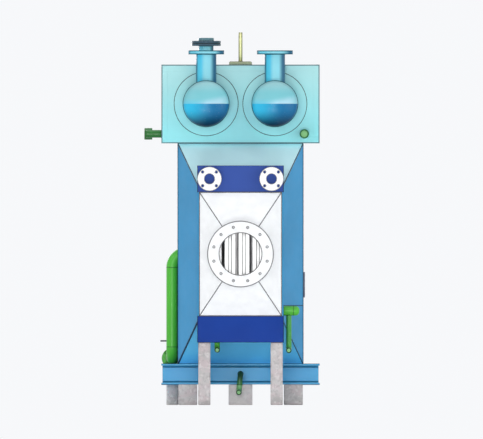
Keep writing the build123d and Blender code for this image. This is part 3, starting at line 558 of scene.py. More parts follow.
# Reducer. Four plates cut to taper and corner welded, which narrow the gas
# path from the casing to the economiser. Painted light: the top slope gets a
# paler blue than the sides, as if it stood fully in the light, and the
# underside a lighter blue, to offset the shade it stands in.
reducer_top_lit_copy = paint("pale reducer paint", (0.65, 0.96, 1.0), dust_and_top_light=(0.66, 0.94, 1.0))
underside_lit_copy = paint("lighter underside paint", (0.13, 0.58, 0.92), dark_edge=0.4)
line_inside(reducer_top_lit_copy)
line_inside(underside_lit_copy)
dress(boiler_blue, "reducer_sides")
dress(underside_lit_copy, "reducer_bottom")
dress(reducer_top_lit_copy, "reducer_top")
narrow_low, wide_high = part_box("reducer_sides")
narrow_half = 0.328
narrow_bottom = 0.6625
narrow_top = 1.7035
plate_joint = 0.776
welds = bmesh.new()
for side in (-1, 1):
    for wide_z, narrow_z in ((casing_low.z, narrow_bottom), (casing_high.z, narrow_top)):
        start = (side * wide_high.x, casing_low.y, wide_z)
        size = 0.0075 if side < 0 and wide_z == casing_low.z else plate_weld
        bead(welds, [start, (side * narrow_half, narrow_low.y, narrow_z)], size)
joint_start = (narrow_half, narrow_low.y, plate_joint)
bead(welds, [joint_start, (wide_high.x, casing_low.y, plate_joint)], 0.003)
low, high = (-narrow_half, narrow_low.y, narrow_bottom), (narrow_half, narrow_low.y, narrow_top)
frame_bead(welds, low, high, plate_weld)
fit("reducer_welds", welds, seam_blue, "boiler_blue")

# Inlet hood, neck and flange at the rear. Plate and rolled plate, welded, with
# a flat drilled flange for the duct that brings the hot gas.
dress(boiler_blue, "inlet_hood", "inlet_neck")
flange_blue = paint("flange blue paint", (0.046, 0.32, 0.6), dust_and_top_light=(0.3, 0.55, 0.7), dust_and_top_light_share=0.4)
dress(flange_blue, "inlet_flange")


def hood_welds(hood, root_y, end_y, ratio, neck_radius, flange_y, size):
    """Beads along a hood's four ridges, and round its neck at both ends."""
    shape = bmesh.new()
    low, high, middle = hood
    root_x, root_z = high.x, (high.z - low.z) / 2
    for side in (-1, 1):
        for level in (-1, 1):
            start = (side * root_x, root_y, middle.z + level * root_z)
            end = (side * root_x * ratio, end_y, middle.z + level * root_z * ratio)
            bead(shape, [start, end], size)
    frame_bead(shape, (-root_x, root_y, low.z), (root_x, root_y, high.z), size)
    collar = []
    for x, z in spokes(96):
        x, z = neck_radius * x, neck_radius * z
        share = min(1, (root_x - abs(x)) / (root_x * (1 - ratio)), (root_z - abs(z)) / (root_z * (1 - ratio)))
        collar.append((x, root_y + (end_y - root_y) * share, middle.z + z))
    bead(shape, collar, size, closed=True)
    ring(shape, (0, flange_y, middle.z), REAR, neck_radius, size, 96)
    return shape


hood = span("inlet_hood")
neck_radius = 0.254
neck_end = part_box("inlet_flange")[0].y
welds = hood_welds(hood, hood[0].y, hood[1].y, 0.31, neck_radius, neck_end, 0.0045)
fit("inlet_welds", welds, seam_blue, "boiler_blue")

# Economiser. A deep blue box under and over the white tubes: sheet steel over
# the tube headers, with welded joints and plain side walls between them.


def deep_blue(name, colour):
    return paint(name, colour, 0.5, (0.25, 0.3, 0.5), 0.25, 0.35, 0.06, 0.7, 0.01)


upper_blue = deep_blue("deep blue paint", (0.033, 0.075, 0.31))
wall_blue = deep_blue("deep blue wall paint", (0.038, 0.082, 0.34))
lower_blue = deep_blue("darker blue paint", (0.006, 0.04, 0.26))
line_inside(wall_blue)
wall_blue.coat(wall_blue.ahead.band(-0.5, -0.9), (0.046, 0.28, 0.52))
dress(upper_blue, "economiser_upper_box")
dress(wall_blue, "economiser_walls")
dress(lower_blue, "economiser_lower_box")
lower_low, lower_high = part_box("economiser_lower_box")
upper_low, upper_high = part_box("economiser_upper_box")
welds = bmesh.new()
for x in (-upper_high.x, upper_high.x):
    for z in (lower_high.z, upper_low.z):
        bead(welds, [(x, upper_low.y, z), (x, upper_high.y, z)], 0.003)
    for low, high in ((lower_low, lower_high), (upper_low, upper_high)):
        bead(welds, [(x, high.y, low.z), (x, high.y, high.z)], 0.003)
fit("economiser_welds", welds, seam_blue, "header_blue")

# Economiser and boiler tubes. Drawn steel tubes: the economiser's with a white
# heat-resisting coat, the boiler's behind them greyed by the hot gas.
white = Finish("white tube coat", (0.93, 0.935, 0.935))
streak = white.noise(60, 3, (1, 1, 0.03))
white.coat(streak.band(0.45, 0.75) * 0.15, (0.7, 0.71, 0.72))
# Painted shade: the tubes' flanks, where they face left and right, are darkened, so that dark lines show
# between the tubes.
tube_flank_shade = abs(white.aside).band(0.6, 0.88)
white.coat(tube_flank_shade * 0.9, (0.12, 0.12, 0.125))
relief = white.noise(400, 2) + streak * 0.5
white.grain(white.noise(35, 3) * 0.25 + 0.38, relief, 0.0003)
dress(white, "economiser_tubes")
grey = Finish("grey boiler tube", (0.8, 0.8, 0.81))
soot = grey.noise(8, 4).band(0.35, 0.7)
grey.coat(soot, (0.62, 0.62, 0.63))
grey.grain(soot * 0.25 + 0.5, grey.noise(300, 3), 0.0005)
dress(grey, "boiler_tubes")

# Water nozzles and outlet hood. White enamelled steel: two small pipe flanges
# on the upper box, and the hood of four plates with its round neck and drilled
# flange. The flange faces are turned, with fine rings for the joint to bite.
ring_pitch = 0.0016


def white_enamel(name, centre, disc=0.0, pale=1.0):
    """White baked paint, with rings turned round a centre on the faces to the front.

    On a disc of a given radius, only the outer edge of its face is dark.
    """
    finish = Finish(name, tint((0.87, 0.875, 0.875), pale))
    patch = finish.noise(13, 4).band(0.3, 0.7)
    finish.coat(patch, tint((0.93, 0.935, 0.935), pale))
    finish.coat(finish.noise(4, 3).band(0.55, 0.8) * 0.06, (0.72, 0.68, 0.58))
    rounded, edge = finish.rim(0.011)
    face = finish.ahead.band(-0.95, -0.99)
    apart = finish.vectors("SUBTRACT", finish.place, centre)
    reach = finish.vectors("LENGTH", finish.vectors("MULTIPLY", apart, (1, 0, 1)))
    if disc:
        edge = reach.band(disc - 0.0085, disc - 0.007) * face
    finish.coat(edge * 0.85, (0.05, 0.05, 0.055))
    finish.feed("Specular IOR Level", 0.25)
    rings = finish.maths("SINE", reach * (2 * pi / ring_pitch))
    relief = finish.noise(230, 2) + finish.noise(30, 2) * 0.5 + rings * face * 0.35
    finish.grain(patch * 0.14 + 0.3, relief, 0.0003, rounded)
    return finish


hood = span("outlet_hood")
gas_z = hood[2].z
gas_axis = (0, 0, gas_z)
flange_low, flange_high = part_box("outlet_flange")
# Painted light: the hood's white is made lighter and the flange's darker than one white, to offset how much
# more light the flat flange face catches than the sloping hood plates.
dress(white_enamel("white hood enamel", gas_axis, pale=1.06), "outlet_hood")
flange_white = white_enamel("white flange enamel", gas_axis, flange_high.x, 0.91)
dress(flange_white, "outlet_neck", "outlet_flange")
weld_steel = Finish("brushed weld", (0.035, 0.034, 0.036))
weld_steel.coat(weld_steel.noise(140, 3), (0.09, 0.088, 0.09))
weld_steel.feed("Roughness", weld_steel.noise(90, 2) * 0.2 + 0.38)
weld_steel.feed("Metallic", 0.1)
neck_radius = 0.178
welds = hood_welds(hood, hood[1].y, hood[0].y, 0.4, neck_radius, flange_high.y, plate_weld)
fit("outlet_welds", welds, weld_steel, "hood_white")
neck_bore, bolt_reach, hole_radius = 0.1672, 0.215, 0.0094
rims = bmesh.new()
ring(rims, (0, flange_low.y + 0.0046, gas_z), REAR, neck_bore, 0.0038, 120)
for x, z in spokes(12, 0.5):
    spot = (bolt_reach * x, flange_low.y + 0.0034, gas_z + bolt_reach * z)
    ring(rims, spot, REAR, hole_radius, 0.003, 24)
fit("outlet_hole_rims", rims, weld_steel, "hood_white")

water_pipe = 0.04445
water_flange = 0.024
welds = bmesh.new()
for low, high, middle in solids("water_nozzles"):
    for y in (high.y, low.y + water_flange):
        ring(welds, (middle.x, y, middle.z), REAR, water_pipe, 0.003)
dress(white_enamel("white nozzle enamel", middle), "water_nozzles")
fit("water_nozzle_welds", welds, weld_steel, "hood_white")

# Drum enclosure. An insulated box of sheet steel, sprayed pale cyan, with rows
# of rivets along its edges, and a flat collar round each drum that is bedded
# on a dark sealing cord.
shell_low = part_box("enclosure_floor")[0]
shell_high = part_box("enclosure_roof")[1]
lip = 0.0095


def folded_edges(finish, low, high):
    """A mask along the twelve edges of a box, as wide as the folded lip of its sheets."""
    wires = (finish.across, finish.depth, finish.height)
    near = []
    for wire, centre, half in zip(wires, (low + high) / 2, (high - low) / 2):
        near.append(abs(wire - centre).band(half - lip, half - lip + 0.0015))
    pairs = near[0] * near[1] + near[1] * near[2] + near[0] * near[2]
    return finish.maths("MINIMUM", pairs, 1.0)


cladding = paint("pale cyan paint", (0.265, 0.76, 0.79), 0.42, (0.5, 0.76, 0.78), 0.35, 0.0, 0.25, 0.0, 0.004)
# Painted light: the cladding is paler towards the top, as if lit from above.
cladding.coat(cladding.height.band(2.05, 2.66) * 0.6, (0.5, 0.73, 0.72))
cladding.coat(folded_edges(cladding, shell_low, shell_high) * 0.85, (0.05, 0.1, 0.12))
dress(cladding, "enclosure_floor", "enclosure_roof", "enclosure_sides", "enclosure_front", "enclosure_rear")
dress(cladding, "drum_collars")
rivet_radius = 0.0042
rivet_pitch = 0.1


def rivet_row(shape, start, end, axis, height=0.0016):
    """Blind rivets at even steps from start to end."""
    start, end = Vector(start), Vector(end)
    steps = max(1, round((end - start).length / rivet_pitch))
    dome = [(0, height), (rivet_radius * 0.45, height * 0.9)]
    dome += [(rivet_radius * 0.8, height * 0.55), (rivet_radius, 0)]
    for step in range(steps + 1):
        turned(shape, start.lerp(end, step / steps), axis, dome, 10)


edge_inset = 0.018
post_gap = 0.11
first_y, last_y = shell_low.y + 0.06, shell_high.y - 0.06
columns = (shell_low.x + edge_inset, shell_high.x - edge_inset)
levels = (shell_low.z + edge_inset, shell_high.z - edge_inset)
rivets = bmesh.new()
for y, axis in ((shell_low.y, FRONT), (shell_high.y, REAR)):
    for z in levels:
        rivet_row(rivets, (columns[0], y, z), (columns[1], y, z), axis)
    for x in columns:
        rivet_row(rivets, (x, y, shell_low.z + post_gap), (x, y, shell_high.z - post_gap), axis)
for x, axis in ((shell_low.x, LEFT), (shell_high.x, RIGHT)):
    for z in levels:
        rivet_row(rivets, (x, first_y, z), (x, last_y, z), axis, 0.0005)
for x in columns:
    rivet_row(rivets, (x, first_y, shell_high.z), (x, last_y, shell_high.z), UP)
fit("enclosure_rivets", rivets, cladding, "cladding_cyan")

collar_bore = 0.1783
seals = bmesh.new()
for low, high, middle in solids("drum_collars"):
    root, face = (high.y, low.y) if middle.y < 0 else (low.y, high.y)
    ring(seals, (middle.x, root, middle.z), REAR, (high.x - low.x) / 2, 0.0052, 120)
    ring(seals, (middle.x, face, middle.z), REAR, collar_bore, 0.0022, 96)
fit("collar_seals", seals, seal_black, "gasket_black")

# Steam drums. Rolled shells with pressed, dished heads, in gloss enamel. Its
# colour is painted reflection and shade: pale cyan above the middle line and
# blue below it stand for a reflected horizon, with painted highlights above the
# line, lighter to the left, and darker to the right and towards the underside.
drum_low, drum_high, middle = span("drum_shells")
drum_z = middle.z
drum_radius = (drum_high.z - drum_low.z) / 2
drum_x = drum_high.x - drum_radius
drum_wall = 0.012


def beside_drum(finish):
    """How far a place lies to the right of the nearer drum's axis."""
    return finish.across - finish.maths("SIGN", finish.across) * drum_x


enamel = Finish("drum enamel with painted reflection", (0.006, 0.175, 0.38))
above = enamel.height - drum_z
beside = beside_drum(enamel)
# Painted light: each drum is lighter blue to the left of its axis and darker to the right.
left = beside.band(0.07, -0.15)
enamel.coat(left, (0.035, 0.51, 0.78))
enamel.coat(beside.band(-0.02, 0.17) * 0.45, (0.015, 0.11, 0.26))
# Painted shade: darker towards the underside.
enamel.coat(above.band(-0.035, -0.185), (0.004, 0.02, 0.045))
# Painted highlights: a sheen just above the middle line that fades to the right, a brighter band above the line
# on the left, and a greyer tone towards the top, as a painted reflection.
painted_sheen = (above - beside * 0.2).band(0.05, -0.005) * beside.band(-0.15, 0.03)
painted_sheen = painted_sheen * (1 - beside.band(0.09, 0.175) * 0.6)
pale = enamel.blend(painted_sheen, (0.205, 0.565, 0.62), (0.41, 0.68, 0.78))
painted_glow_by_line = above.band(0.05, 0.0) * left
pale = enamel.blend(painted_glow_by_line * 0.6, pale, (0.14, 0.6, 0.8))
pale = enamel.blend(above.band(0.07, 0.178), pale, (0.34, 0.62, 0.65))
# The pale upper tone meets the blue at the middle line as a painted reflected horizon.
enamel.coat(above.band(-0.0008, 0.0008), pale)
enamel.coat(enamel.noise(85, 3).band(0.62, 0.72) * 0.08, (0.5, 0.6, 0.62))
enamel.gloss(0.16, 0.08, 0.14)
relief = enamel.noise(120, 2) * 0.5 + enamel.noise(14, 2)
enamel.grain(enamel.noise(17, 4).band(0.3, 0.7) * 0.1 + 0.28, relief, 0.0004)
dress(enamel, "drum_shells")

crown = drum_radius * 2 * 0.8
knuckle = drum_radius * 2 * 0.154
knuckle_x = drum_radius - knuckle
setback = sqrt((crown - knuckle) ** 2 - knuckle_x**2)
knuckle_turn = acos(knuckle_x / (crown - knuckle))
dome = []
for depth, steps in ((0.0, range(0, 41)), (drum_wall, range(40, -1, -1))):
    for step in steps:
        if step < 12:
            turn = knuckle_turn * step / 12
            dome.append((knuckle_x + (knuckle - depth) * cos(turn), (knuckle - depth) * sin(turn)))
        else:
            turn = knuckle_turn + (pi / 2 - knuckle_turn) * (step - 12) / 28
            radius = 0 if step == 40 else (crown - depth) * cos(turn)
            dome.append((radius, (crown - depth) * sin(turn) - setback))
heads = bmesh.new()
head_welds = bmesh.new()
for x in (-drum_x, drum_x):
    for y, axis in ((drum_low.y, FRONT), (drum_high.y, REAR)):
        turned(heads, (x, y, drum_z), axis, dome, 128, closed=True)
        ring(head_welds, (x, y, drum_z), REAR, drum_radius, 0.0054, 120)
fit("dished_heads", heads, enamel, "drum_blue", "drum_heads")
seam_tone = (0.012, 0.12, 0.15)
drum_seam = paint("dark enamel over drum seams", seam_tone, 0.35, dust_and_top_light_share=0.1, wear=0.1, dark_edge=0)
fit("head_welds", head_welds, drum_seam, "drum_blue")

# Steam nozzles. Pipe saddled and welded on each drum's front end, with a thick
# drilled flange on top, in the same gloss blue.


def gloss_blue(name, shade_start, shade_end, depth, colour=(0.26, 0.66, 0.76)):
    """Gloss paint, thick and bright, with painted shading across the pipe: a deeper blue band on the left with
    a thin dark edge, a pale middle as a painted highlight, and painted shade on the right.
    """
    finish = paint(name, colour, 0.36, (0.4, 0.68, 0.78), 0.25, 0.3, 0.2, 0.8, 0.01)
    beside = beside_drum(finish)
    finish.coat(beside.band(-shade_start * 0.4, -shade_start * 1.6) * depth, (0.055, 0.56, 0.8))
    finish.coat(beside.band(-shade_end * 0.94, -shade_end * 1.1) * 0.85, (0.02, 0.12, 0.2))
    finish.coat(beside.band(shade_start, shade_end) * 0.96, (0.02, 0.12, 0.23))
    return finish


dress(gloss_blue("gloss nozzle paint", 0.027, 0.066, 0.85), "drum_nozzles")
disc_low, disc_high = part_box("drum_flanges")
disc = gloss_blue("gloss flange paint", 0.06, 0.125, 0.4)
lines = disc.height.band(disc_low.z + 0.0085, disc_low.z + 0.007)
lines = lines + disc.height.band(disc_high.z - 0.0085, disc_high.z - 0.007)
upright = abs(disc.upward).band(0.9, 0.5)
disc.coat(lines * upright * 0.85, (0.008, 0.08, 0.12))
disc.gloss(0.05, 0.0, 0.15)
dress(disc, "drum_flanges")


def saddle_bead(shape, centre, pipe_radius, run_radius, aside, rise, size, count=96):
    """A bead where an upright pipe meets a round run; aside is X, 0, or Y, 1, across the run."""
    points = []
    for spoke in spokes(count):
        x, y = pipe_radius * spoke[0], pipe_radius * spoke[1]
        height = rise * sqrt(run_radius**2 - (x, y)[aside] ** 2)
        points.append((centre.x + x, centre.y + y, centre.z + height))
    bead(shape, points, size, closed=True)


low, high, middle = span("drum_nozzles")
nozzle_radius = high.x - drum_x
welds = bmesh.new()
for x in (-drum_x, drum_x):
    centre = Vector((x, middle.y, drum_z))
    saddle_bead(welds, centre, nozzle_radius, drum_radius, 0, 1, 0.0045)
    ring(welds, (x, middle.y, disc_low.z), UP, nozzle_radius, 0.0032, 96)
fit("nozzle_welds", welds, drum_seam, "drum_blue")

# Vent nozzle. A smaller pipe through the enclosure's roof with a dark flange,
# closed by a blind flange with a round cap on top. A black ring lies between
# the flanges, and screws are sunk level with the upper one.
low, high, middle = span("vent_nozzle")
vent_radius = (high.x - low.x) / 2
vent_pipe = 0.05715
vent_bore = 0.051
vent_thick = 0.018
vent_rim = 0.0015
cap_radius = 0.061
vent_dark = paint("dark vent paint", (0.052, 0.108, 0.15), 0.32, (0.16, 0.2, 0.22), wear=0.4)
vent_steel = paint("grey green cap paint", (0.138, 0.285, 0.33), 0.3, (0.25, 0.36, 0.36), wear=0.4)
# Painted light: the vent pipe's blue is lighter than the nozzles', to offset the shade it stands in, with the
# same painted shading across it.
vent_blue_lit_copy = gloss_blue("gloss vent pipe paint", 0.022, 0.052, 0.5, (0.36, 0.88, 1.0))
stand = Vector((middle.x, middle.y, 0))
top = high.z
neck = top - vent_thick
pipe_wall = [(vent_bore, low.z), (vent_pipe, low.z), (vent_pipe, neck), (vent_bore, neck)]
vent = turned(bmesh.new(), stand, UP, pipe_wall, 72, closed=True)
fit("vent_pipe", vent, vent_blue_lit_copy, "drum_blue", "vent_nozzle")


def round_edged(inner, outer, bottom, top, rim):
    """The outline of a flat ring with rounded outer edges."""
    near = outer - rim * 0.3
    outline = [(inner, bottom), (outer - rim, bottom), (near, bottom + rim * 0.3), (outer, bottom + rim)]
    return outline + [(outer, top - rim), (near, top - rim * 0.3), (outer - rim, top), (inner, top)]


lower = round_edged(vent_bore, vent_radius, neck, top, vent_rim)
flanges = turned(bmesh.new(), stand, UP, lower, 96, closed=True)
cover_low, cover_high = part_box("vent_cover")
blind_top = cover_low.z + vent_thick
turned(flanges, stand, UP, round_edged(0, vent_radius, cover_low.z, blind_top, vent_rim), 96)
fit("vent_flanges", flanges, vent_dark, "vent_dark", "vent_cover")
top = cover_high.z
cap = [(cap_radius, blind_top - 0.001), (cap_radius, top - 0.006), (0.0598, top - 0.0028)]
cap += [(0.0575, top - 0.0008), (0.055, top), (0, top)]
vent_cap = turned(bmesh.new(), stand, UP, cap, 72)
beads = ((blind_top, cap_radius, 0.0022), (neck, vent_pipe, 0.003), (shell_high.z, vent_pipe, 0.004))
for z, radius, size in beads:
    ring(vent_cap, stand + UP * z, UP, radius, size)
fit("vent_cap", vent_cap, vent_steel, "vent_dark")
bolt_reach = 0.0925
screw = [(0.0105, 0), (0.0105, 0.0008), (0.0095, 0.0014), (0.0055, 0.0014), (0.0055, -0.001), (0, -0.001)]
screws = bmesh.new()
for x, y in spokes(8, 0.5):
    spot = stand + Vector((bolt_reach * x, bolt_reach * y, blind_top - 0.0008))
    turned(screws, spot, UP, screw, 20)
fit("vent_screws", screws, bolt_steel, "vent_dark")
dress(seal_black, "vent_gasket")

# Lifting lugs. Thick plate, round topped with a burnt and ground eye, painted
# yellow and welded all round to chamfered pads on the enclosure's roof.
lug_yellow = paint("safety yellow paint", (1.0, 0.98, 0.48), dust_and_top_light=(0.6, 0.6, 0.42), dust_and_top_light_share=0.2, wear=0.8)
burnt = abs(lug_yellow.across).band(0.006, 0.0085)
burnt = burnt * abs(lug_yellow.aside).band(0.9, 0.6)
lug_yellow.coat(burnt * 0.85, (0.04, 0.045, 0.02))
lug_grey = paint("grey green pad paint", (0.57, 0.56, 0.34), 0.45, (0.45, 0.48, 0.42), wear=0.6)
dress(lug_grey, "lug_bases")
lug_edge = 0.003
eye_radius = 0.025
lugs = bmesh.new()
lug_welds = bmesh.new()
for low, high, middle in solids("lug_plates"):
    half = (high.y - low.y) / 2
    eye_z = high.z - half
    drop = eye_z - low.z
    outsides = []
    insides = []
    for face, inward in ((low.x, 1), (high.x, -1)):
        for inset, part in ((0, 1), (0.3, 0.3), (1, 0))[::inward]:
            x, shrink = face + inward * lug_edge * inset, lug_edge * part
            outside = []
            inside = []
            hole = eye_radius + shrink
            for side, rise in spokes(64):
                stretch = half if rise >= 0 else min(half / max(abs(side), 0.0001), drop / abs(rise))
                y, z = side * stretch, rise * stretch
                reach = hypot(y, z)
                at_foot = z < 0 and abs(z) > drop - 0.0001
                share = 1 if at_foot else (reach - shrink) / reach
                outside.append(lugs.verts.new((x, middle.y + y * share, eye_z + z * share)))
                inside.append(lugs.verts.new((x, middle.y + side * hole, eye_z + rise * hole)))
            outsides.append(outside)
            insides.append(inside)
    skin(lugs, outsides)
    skin(lugs, insides)
    for level in (0, -1):
        skin(lugs, [outsides[level], insides[level]])
    frame_bead(lug_welds, low, (high.x, high.y, low.z), 0.004)
fit("lug_plates_rounded", lugs, lug_yellow, "lug_yellow", "lug_plates")
fit("lug_welds", lug_welds, lug_grey, "lug_base_grey")
welds = bmesh.new()
for low, high, _ in solids("lug_bases"):
    frame_bead(welds, low, (high.x, high.y, low.z), 0.003)
fit("pad_welds", welds, lug_grey, "lug_base_grey")

# Green pipework. Drawn pipe and pressed elbows, butt welded and painted green:
# the riser and return pipe on the left, with the flange at the rear and a flat
# bar to steady it, and the short stubs of the drum enclosure.
pipe_green = paint("pipe green paint", (0.09, 0.505, 0.042), 0.34, (0.35, 0.5, 0.3), 0.2, 0.4, 0.3)
weld_green = paint("green over welds", (0.012, 0.085, 0.015), dust_and_top_light_share=0.1, wear=0.2)
# The side stubs get a darker green than the pipes.
stub_green = paint("darker stub green", (0.025, 0.16, 0.028), 0.34, (0.3, 0.5, 0.25), 0.5, 0.4, 0.3)
bracket_dark = paint("dark bracket paint", (0.05, 0.055, 0.065), 0.45, wear=0.6)
dress(pipe_green, "return_flange")
dress(bracket_dark, "pipe_bracket")


def rounded_route(corners, radius, steps=14):
    """Points along straight runs, with an arc of one radius at each corner."""
    corners = [Vector(corner) for corner in corners]
    points = [corners[0]]
    for before, corner, after in zip(corners, corners[1:], corners[2:]):
        back = (before - corner).normalized()
        ahead = (after - corner).normalized()
        half_turn = back.angle(ahead) / 2
        centre = corner + (back + ahead).normalized() * (radius / sin(half_turn))
        first, last = [corner + way * (radius / tan(half_turn)) - centre for way in (back, ahead)]
        points += [centre + first.slerp(last, step / steps) * radius for step in range(steps + 1)]
    return points + [corners[-1]]


def hollow_pipe(points, outer, bore, sides):
    """A pipe with a wall, along points, its cut ends open."""
    shape = bmesh.new()
    walls = [sweep(shape, points, [size / 2] * len(points), sides, capped=False) for size in (outer, bore)]
    for end in (0, -1):
        skin(shape, [wall[end] for wall in walls])
    return shape


riser_low, riser_high, riser_middle = span("riser_pipe")
return_low, return_high, return_middle = span("return_pipe")
riser_x, riser_y, return_z = riser_middle.x, riser_middle.y, return_middle.z
riser_outer = riser_high.x - riser_low.x
riser_radius = riser_outer / 2
riser_bore = 0.08
elbow_radius = 0.114
elbow_x = riser_x + elbow_radius
route = []
for step in range(28, -1, -1):
    turn = radians(75) * step / 28
    x, z = elbow_x - elbow_radius * cos(turn), riser_high.z + elbow_radius * sin(turn)
    route.append(Vector((x, riser_y, z)))
foot_bend = [(riser_x, riser_y, riser_low.z + 0.001), (riser_x, riser_y, return_z)]
foot_bend.append((riser_x, return_high.y, return_z))
route += rounded_route(foot_bend, return_low.y - riser_y, 24)
riser = hollow_pipe(route, riser_outer, riser_bore, 64)
fit("riser_and_return", riser, pipe_green, "pipe_green", "riser_elbows", "riser_pipe", "return_pipe")

flange_low, flange_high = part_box("return_flange")
welds = bmesh.new()
butt_radius = riser_radius - 0.0005
for z in (riser_low.z, riser_high.z):
    ring(welds, (riser_x, riser_y, z), UP, butt_radius, 0.0024)
ring(welds, (riser_x, return_low.y, return_z), REAR, butt_radius, 0.0024)
ring(welds, (riser_x, flange_low.y, return_z), REAR, riser_radius, 0.003)
wall_ring = []
for climb, y in spokes(72):
    reach = elbow_radius + riser_radius * climb
    z = riser_high.z + sqrt(reach**2 - (elbow_x - casing_low.x) ** 2)
    wall_ring.append((casing_low.x, riser_y + riser_radius * y, z))
bead(welds, wall_ring, 0.0035, closed=True)
fit("green_welds", welds, weld_green, "pipe_green")
bolt_reach = 0.063
shank_radius = 0.0075
grip = flange_high.y - flange_low.y
shank = [(0, 0), (shank_radius, 0), (shank_radius, grip), (0, grip)]
bolts = bmesh.new()
for x, z in spokes(4, 0.5):
    x, z = riser_x + bolt_reach * x, return_z + bolt_reach * z
    for y, axis in ((flange_low.y, FRONT), (flange_high.y, REAR)):
        nut(bolts, (x, y, z), axis, 0.022, 0.011, 0.004)
    turned(bolts, (x, flange_low.y, z), REAR, shank, 20)
fit("return_bolts", bolts, pipe_green, "pipe_green")

low, high, middle = span("side_stubs")
stub_z = middle.z
socket = (high.z - low.z) / 2
stub_radius = 0.03015
stub_bore = 0.025
stubs = bmesh.new()
for low, high, middle in solids("side_stubs"):
    centre = (high.x, middle.y, stub_z)
    length = high.x - low.x
    outline = [(stub_bore, 0), (stub_radius, 0)]
    if high.z - low.z > 0.08:
        root = length - 0.062
        outline += [(stub_radius, root), (socket - 0.003, root), (socket - 0.0008, root + 0.0008)]
        outline += [(socket, root + 0.003), (socket, length - 0.004), (socket - 0.001, length - 0.001)]
        outline += [(socket - 0.004, length), (stub_bore, length)]
    else:
        outline += [(stub_radius, length - 0.0015), (stub_radius - 0.0015, length)]
        outline += [(stub_bore + 0.0015, length), (stub_bore, length - 0.0015)]
    turned(stubs, centre, LEFT, outline, 64, closed=True)
    ring(stubs, centre, RIGHT, stub_radius, 0.003)
fit("turned_side_stubs", stubs, stub_green, "pipe_green", "side_stubs")

low, high, middle = span("front_stub")
radius = (high.x - low.x) / 2
length = high.y - low.y
bore = 0.0265
root = Vector((middle.x, high.y, middle.z))
outline = [(bore, length - 0.006), (bore, length - 0.001), (0.0275, length), (radius - 0.003, length)]
outline += [(radius - 0.0008, length - 0.0008), (radius, length - 0.003), (radius, 0), (bore, 0)]
plug_ring = turned(bmesh.new(), root, FRONT, outline, 64, closed=True)
ring(plug_ring, root, REAR, radius, 0.0015)
ring_green = paint("dark ring green", (0.02, 0.17, 0.04), dust_and_top_light_share=0.1, wear=0.2, dark_edge=0.0)
fit("front_stub_ring", plug_ring, ring_green, "pipe_green", "front_stub")
plug_pale = paint("plug green paint", (0.19, 0.5, 0.17), 0.35, dust_and_top_light_share=0.1, wear=0.3, dark_edge=0.0)
outline = [(0.0268, length - 0.008), (0.0262, length - 0.005), (0.025, length - 0.004), (0, length - 0.004)]
fit("front_stub_plug", turned(bmesh.new(), root, FRONT, outline), plug_pale, "pipe_green")

# Side header and drains. The economiser's header comes out on the right with a
# dished cap and a drop pipe under it; the drains end open towards the front.
header_low, header_high, middle = span("side_header")
header_radius = (header_high.z - header_low.z) / 2
header_bore = 0.034
header_y, header_z = middle.y, middle.z
cap_low, cap_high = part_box("header_cap")
cap_bend = 0.031
full_length = cap_high.x - header_low.x
cap_start = full_length - cap_bend
outline = [(header_bore, 0), (header_radius, 0), (header_radius, cap_start)]
for step in range(1, 17):
    turn = pi / 2 * step / 16
    radius = header_radius - cap_bend + cap_bend * cos(turn)
    outline.append((radius, cap_start + (cap_bend - 0.0005) * sin(turn)))
outline.append((0, full_length))
header = turned(bmesh.new(), (header_low.x, header_y, header_z), RIGHT, outline, 72)
fit("capped_header", header, pipe_green, "pipe_green", "side_header", "header_cap")

drop_low, drop_high, middle = span("drop_pipe")
drop_x = middle.x
drain_low, _, middle = span("economiser_drain")
drain_x = middle.x
blow_low, blow_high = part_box("blowdown_pipe")
drain_outer = drop_high.x - drop_low.x
drain_bore = 0.034
drain_bend = 0.04
drop_z = drop_low.z + drain_outer / 2
drain_z = drain_low.z + drain_outer / 2
end_inset = 0.004
drain_green = paint("darker pipe green", (0.06, 0.33, 0.06), 0.34, (0.3, 0.5, 0.25), 0.2, 0.4, 0.3)
for name, x, top, z, end_y, finish, node in (
    ("drop_run", drop_x, header_low.z + 0.004, drop_z, drop_low.y, drain_green, "drop_pipe"),
    ("drain_run", drain_x, lower_low.z, drain_z, drain_low.y, pipe_green, "economiser_drain"),
):
    route = rounded_route([(x, header_y, top), (x, header_y, z), (x, end_y + end_inset, z)], drain_bend)
    fit(name, hollow_pipe(route, drain_outer, drain_bore, 40), finish, "pipe_green", node)

blow_z = 0.242
blow_end_x = -0.013
blow_end_z = 0.098
blow_y = front_low.y - 0.06
blow_outer = 0.0424
blow_route = [(0, blow_high.y, blow_z), (0, blow_y, blow_z), (blow_end_x, blow_y, blow_end_z)]
blow_route.append((blow_end_x, blow_low.y + end_inset, blow_end_z))
blowdown = hollow_pipe(rounded_route(blow_route, 0.038), blow_outer, drain_bore, 40)
# Painted shade: the blow-down pipe is a darker copy of the pipe green, near black higher up where the beam
# shades it, and lighter at its foot as painted light.
blowdown_shaded_green = paint("blow-down green with painted shade", (0.04, 0.22, 0.05), 0.36, (0.3, 0.5, 0.25), 0.2, 0.4, 0.3)
blowdown_shaded_green.coat(blowdown_shaded_green.height.band(0.165, 0.155), (0.17, 0.42, 0.16))
blowdown_shaded_green.coat(blowdown_shaded_green.height.band(0.15, 0.225) * 0.92, (0.003, 0.04, 0.014))
fit("blowdown_run", blowdown, blowdown_shaded_green, "pipe_green", "blowdown_pipe")

